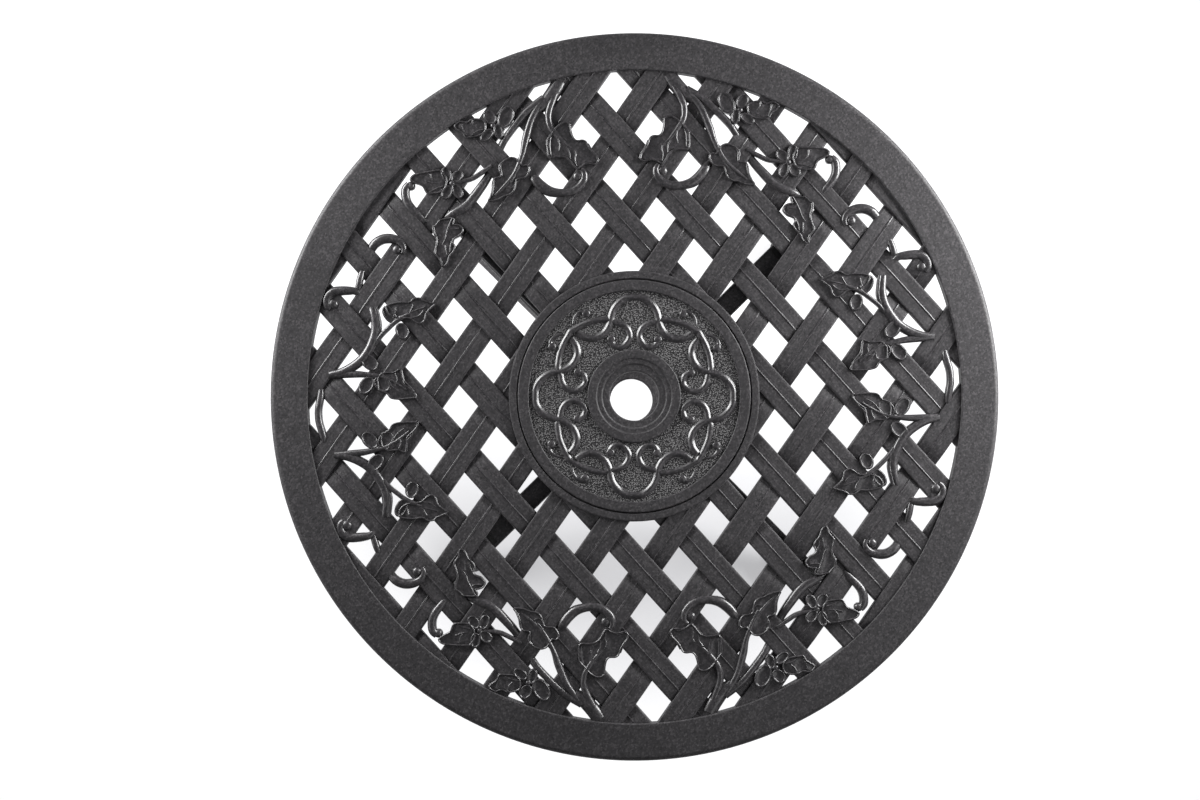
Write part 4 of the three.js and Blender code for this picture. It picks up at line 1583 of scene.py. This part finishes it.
@dataclass
class Fasteners:
    """The screws and washers that hold the castings together."""

    across: float = 13.0
    head: float = 5.3
    head_edge: float = 0.35
    face_radius: Pair = (5.4, 6.1)
    face_rise: float = 0.3
    shank: float = 4.0
    tip: float = 0.8
    washer: Triple = (4.4, 8.0, 1.6)
    washer_edge: float = 0.3
    hub_place: float = 70.0
    hub_face: float = 513.5
    hub_end: float = 534.3
    hub_washer: float = 513.8
    ring_face: float = 72.5
    ring_end: float = 36.0
    ring_washer: float = 72.2
    ring_level: float = 265.0

    def screw(self, length: float) -> Form:
        """Makes a hex screw whose head ends at height nothing, with its shank pointing up.

        Args:
            length: The shank's length.

        Returns:
            The screw.
        """
        (flat, outer), under = self.face_radius, 0.6 - self.head
        crown = [(0.0, -self.head), (flat, -self.head), (outer, 0.25 - self.head), (outer, under),
                 (0.0, under)]
        shank = [(0.0, -1.0), (self.shank, -1.0), (self.shank, length - self.tip),
                 (self.shank - self.tip, length), (0.0, length)]
        form = Form().hexagon(self.across, self.face_rise - self.head, 0.0, self.head_edge)
        form.add(Form().lathe(crown, 36, closed=False))
        return form.add(Form().lathe(shank, 24, closed=False))

    def flat_washer(self) -> Form:
        """Makes a flat washer with rounded edges, standing on height nothing.

        Returns:
            The washer.
        """
        (inner, outer, thick), edge = self.washer, self.washer_edge
        return Form().lathe([(inner, 0.0), (outer - edge, 0.0), (outer, edge), (outer, thick - edge),
                             (outer - edge, thick), (inner + edge, thick), (inner, thick - edge)], 48)

    def build(self, dresses: dict[str, Dress]) -> None:
        """Builds and dresses the screws and washers.

        Args:
            dresses: The table's finishes.
        """
        inward = Matrix.Rotation(-math.pi / 2, 4, "Y")
        upward = Matrix.Identity(4)
        rows = (
            ("hub_screw", self.screw(self.hub_end - self.hub_face), self.hub_place, self.hub_face, upward),
            ("hub_washer", self.flat_washer(), self.hub_place, self.hub_washer, upward),
            ("ring_screw", self.screw(self.ring_face - self.ring_end), self.ring_face, self.ring_level,
             inward),
            ("ring_washer", self.flat_washer(), self.ring_washer, self.ring_level, inward),
        )
        pieces = []
        for kind, form, out, up, turn in rows:
            form = Form().add(form, Matrix.Translation((out, 0, up)) @ turn)
            pieces.append(CornerPiece(kind, "plated", form, dresses["zinc"], 30))
        set_at_corners(*pieces)


@dataclass
class LevellingGlides:
    """The plastic feet on threaded studs, and the brass inserts that they screw into."""

    place: float = 236.0
    radius: float = 15.0
    thick: float = 7.0
    bend: float = 2.5
    groove: Triple = (9.2, 8.9, 8.6)
    groove_depth: float = 0.35
    pocket_edge: float = 0.4
    gap: float = 0.3
    collar: Pair = (7.3, 11.8)
    collar_edge: float = 0.45
    across: float = 13.0
    stud: float = 4.0
    stud_levels: Pair = (3.0, 31.8)
    stud_edge: float = 0.5
    stud_tip: float = 1.2
    thread_pitch: float = 1.25
    thread_depth: float = 0.55
    thread_start: float = 11.0
    thread_end: float = 0.4
    insert: tuple[float, float, float, float] = (4.4, 6.2, 12.1, 26.1)

    def base(self) -> Form:
        """Makes the plastic foot.

        Returns:
            The foot.
        """
        pocket, floor = self.stud + self.gap, self.stud_levels[0] - self.gap
        out, (start, middle, end) = self.radius - self.bend, self.groove
        return Form().lathe([
            (0.0, 0.0), (out, 0.0), *arc((out, self.bend), self.bend, -80, 0, 4),
            *arc((out, self.thick - self.bend), self.bend, 0, 90, 4), (start, self.thick),
            (middle, self.thick - self.groove_depth), (end, self.thick),
            (pocket + self.pocket_edge, self.thick), (pocket, self.thick - self.pocket_edge),
            (pocket, floor), (0.0, floor)], 64, closed=False)

    def threaded_stud(self) -> Form:
        """Makes the stud with its hex collar and its thread.

        Returns:
            The stud.
        """
        (low, high), (foot, tip), core = self.collar, self.stud_levels, self.stud - self.thread_depth
        form = Form().hexagon(self.across, low, high, self.collar_edge)
        form.add(Form().lathe([(0.0, foot), (self.stud - self.stud_edge, foot),
                               (self.stud, foot + self.stud_edge), (self.stud, low + 1.0), (0.0, low + 1.0)],
                              24, closed=False))
        start, thread = self.thread_start, ((core, 0.0), (self.stud, 0.4), (self.stud, 0.6))
        turns = int((tip - self.stud_tip - start) / self.thread_pitch)
        zigzag = [(radius, start + (turn + share) * self.thread_pitch)
                  for turn in range(turns + 1) for radius, share in thread]
        form.add(Form().lathe(zigzag, 20, closed=False, lift=self.thread_pitch))
        top = min(start + (turns + 1) * self.thread_pitch, tip) - self.thread_end
        return form.add(Form().lathe([(0.0, high - 1.0), (core, high - 1.0), (core, top),
                                      (self.stud - self.stud_tip, tip), (0.0, tip)], 24, closed=False))

    def threaded_insert(self) -> Form:
        """Makes the brass insert.

        Returns:
            The insert.
        """
        inner, outer, low, high = self.insert
        return Form().lathe([(inner + 0.5, low), (outer - 0.2, low), (outer, low + 0.2), (outer, high - 0.5),
                             (outer - 0.5, high), (inner, high), (inner, low + 0.5)], 48)

    def build(self, dresses: dict[str, Dress]) -> None:
        """Builds and dresses the glides and inserts.

        Args:
            dresses: The table's finishes.
        """
        rows = (
            ("glide_base", "moulded", self.base(), "nylon", True),
            ("glide_stud", "threaded", self.threaded_stud(), "zinc", True),
            ("foot_insert", "turned", self.threaded_insert(), "brass", False),
        )
        move = Matrix.Translation((self.place, 0, 0))
        set_at_corners(*(CornerPiece(kind, look, Form().add(form, move), dresses[slot], on_glide=moves)
                         for kind, look, form, slot, moves in rows))


@dataclass
class TopBumpers:
    """The rubber strips between the arms and the lattice."""

    low: Triple = (168.0, -6.5, 526.0)
    high: Triple = (202.0, 6.5, 527.7)
    edge: float = 0.5

    def build(self, dresses: dict[str, Dress]) -> None:
        """Builds and dresses the strips.

        Args:
            dresses: The table's finishes.
        """
        strip = Form().block(self.low, self.high, self.edge, 2)
        set_at_corners(CornerPiece("top_bumper", "strip", strip, dresses["rubber"]))


# Studio


@dataclass(frozen=True)
class SoftBox:
    """A broad soft lamp, aimed at the table's top, with its bearing and rise in degrees."""

    name: str
    bearing: float
    rise: float
    distance: float
    size: Pair
    power: float

    def place(self, target: Vector) -> None:
        """Hangs the lamp.

        Args:
            target: Where it aims.
        """
        data = bpy.data.lights.new(self.name, "AREA")
        data.shape = "RECTANGLE"
        data.size, data.size_y = self.size
        data.energy = self.power
        lamp = bpy.data.objects.new(self.name, data)
        bearing, rise = math.radians(self.bearing), math.radians(self.rise)
        level = math.cos(rise)
        away = Vector((level * math.cos(bearing), level * math.sin(bearing), math.sin(rise)))
        lamp.location = target + away * self.distance
        lamp.rotation_euler = (-away).to_track_quat("-Z", "Y").to_euler()
        lamp.visible_camera = False
        bpy.context.scene.collection.objects.link(lamp)


@dataclass
class Studio:
    """The pale floor, the soft lamps and the camera above the table."""

    target: Vector = field(default_factory=lambda: Vector((-0.0286, -0.0035, 0.54)))
    viewpoint: Vector = field(default_factory=lambda: Vector((-0.0185, -0.0270, 2.347)))
    lens: float = 64.84
    roll: float = 0.4
    floor_half: float = 30.0
    floor_gap: float = 0.0002
    floor_plain: Triple = (0.8, 0.8, 0.81)
    floor_shade: Triple = grey(0.5, 1.02)
    floor_glow: float = 0.665
    # The colour of the shadow painted into the floor's glow, and the spans over which it fades: out from the
    # table's middle and towards +Y.
    floor_dark: Triple = grey(0.3, 1.03)
    dark_apart: Pair = (0.42, 0.2)
    dark_away: Pair = (0.1, -0.2)
    sky: Triple = grey(0.165, 1.03)
    lamps: tuple[SoftBox, ...] = (
        SoftBox("near_east_lamp", 22.0, 12.0, 0.72, (0.5, 0.25), 9.6),
        SoftBox("near_west_lamp", 152.0, 12.0, 0.72, (0.5, 0.25), 6.6),
        SoftBox("low_west_lamp", 168.0, 12.0, 1.35, (2.2, 0.5), 6.0),
        SoftBox("low_north_west_lamp", 130.0, 14.0, 1.35, (1.0, 0.5), 4.5),
        SoftBox("high_east_lamp", 14.0, 40.0, 1.35, (0.7, 0.6), 1.0),
        SoftBox("high_south_east_lamp", 325.0, 44.0, 1.35, (0.8, 0.6), 1.8),
    )

    def floor_finish(self) -> bpy.types.Material:
        """Makes a pale floor that looks white where it is seen, but for the real shade below the table and a
        shadow painted into its glow there, darkest towards -Y.

        Returns:
            The material.
        """
        shader = Shader(bpy.data.materials.new("pale_floor"))
        path = shader.node("ShaderNodeLightPath")
        camera, glossy, through = (Signal(shader, path.outputs[f"Is {kind} Ray"])
                                   for kind in ("Camera", "Glossy", "Transmission"))
        seen = (camera + glossy + through).clamped()
        across, away = (shader.axis(shader.place(), axis) for axis in (0, 1))
        apart = (across ** 2.0 + away ** 2.0) ** 0.5
        # Painted shadow: the mask of where the floor's glow is darkened below the table, strongest near its
        # middle on the -Y side.
        below = shader.between(apart, *self.dark_apart) * shader.between(away, *self.dark_away)
        glow = {"Color": shader.mix(below, grey(1.0), self.floor_dark), "Strength": self.floor_glow}
        matt, shade = (shader.node("ShaderNodeBsdfDiffuse", None, {"Color": opaque(colour)}).outputs[0]
                       for colour in (self.floor_plain, self.floor_shade))
        glowing = shader.node("ShaderNodeEmission", None, glow).outputs[0]
        bright = shader.node("ShaderNodeAddShader", None, {0: shade, 1: glowing}).outputs[0]
        mixed = shader.node("ShaderNodeMixShader", None, {0: seen, 1: matt, 2: bright})
        shader.node("ShaderNodeOutputMaterial", None, {"Surface": mixed.outputs[0]})
        return shader.owner

    def floor(self, feet: Sequence[bpy.types.Object]) -> None:
        """Lays the floor, which keeps the table's real shadow beside the shadow painted into its glow.

        Args:
            feet: The bodies that stand on it; it stays under the lowest, however far they are screwed out.
        """
        mesh = bmesh.new()
        bmesh.ops.create_grid(mesh, x_segments=1, y_segments=1, size=self.floor_half)
        bmesh.ops.translate(mesh, vec=(0, 0, -self.floor_gap), verts=mesh.verts[:])
        data = bpy.data.meshes.new("floor")
        mesh.to_mesh(data)
        mesh.free()
        data.materials.append(self.floor_finish())
        made = bpy.data.objects.new("floor", data)
        bpy.context.scene.collection.objects.link(made)
        level = made.driver_add("location", 2).driver
        level.type = "MIN"
        for foot in feet:
            variable = level.variables.new()
            variable.type = "TRANSFORMS"
            variable.targets[0].id = foot
            variable.targets[0].transform_type = "LOC_Z"

    def room(self) -> None:
        """Makes a dim room that looks white to the camera."""
        shader = Shader(bpy.data.worlds.new("room"))
        bpy.context.scene.world = shader.owner
        camera = shader.node("ShaderNodeLightPath").outputs["Is Camera Ray"]
        dim, white = (shader.node("ShaderNodeBackground", None, {"Color": opaque(colour)}).outputs[0]
                      for colour in (self.sky, grey(1.0)))
        mixed = shader.node("ShaderNodeMixShader", None, {0: camera, 1: dim, 2: white})
        shader.node("ShaderNodeOutputWorld", None, {"Surface": mixed.outputs[0]})

    def camera(self) -> None:
        """Sets the camera straight above the table, as the photograph was taken."""
        data = bpy.data.cameras.new("camera")
        data.lens = self.lens
        data.clip_start = 0.01
        made = bpy.data.objects.new("camera", data)
        ahead = (self.target - self.viewpoint).normalized()
        roll = math.radians(self.roll)
        right = ahead.cross(Vector((-math.sin(roll), math.cos(roll), 0.0))).normalized()
        made.matrix_world = station(right, right.cross(ahead), -ahead, self.viewpoint)
        bpy.context.scene.collection.objects.link(made)
        bpy.context.scene.camera = made

    def build(self, feet: Sequence[bpy.types.Object]) -> None:
        """Sets up the whole studio.

        Args:
            feet: The bodies that stand on the floor.
        """
        self.floor(feet)
        self.room()
        for lamp in self.lamps:
            lamp.place(self.target)
        self.camera()
        bpy.context.scene.view_settings.view_transform = "Standard"


def main() -> None:
    """Builds the table's looks round its frame."""
    logging.basicConfig(level=logging.INFO, format="%(message)s")
    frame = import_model()
    Studio().build([frame["bodies"][f"glide_{corner.tag}"] for corner in Corner])
    dresses = finishes()
    for assembly in (TabletopCasting(), Medallion(), Leg(), PoleRing(), Fasteners(), LevellingGlides(),
                     TopBumpers()):
        LOG.info("building %s", type(assembly).__name__)
        assembly.build(dresses)


if __name__ == "__main__":
    main()
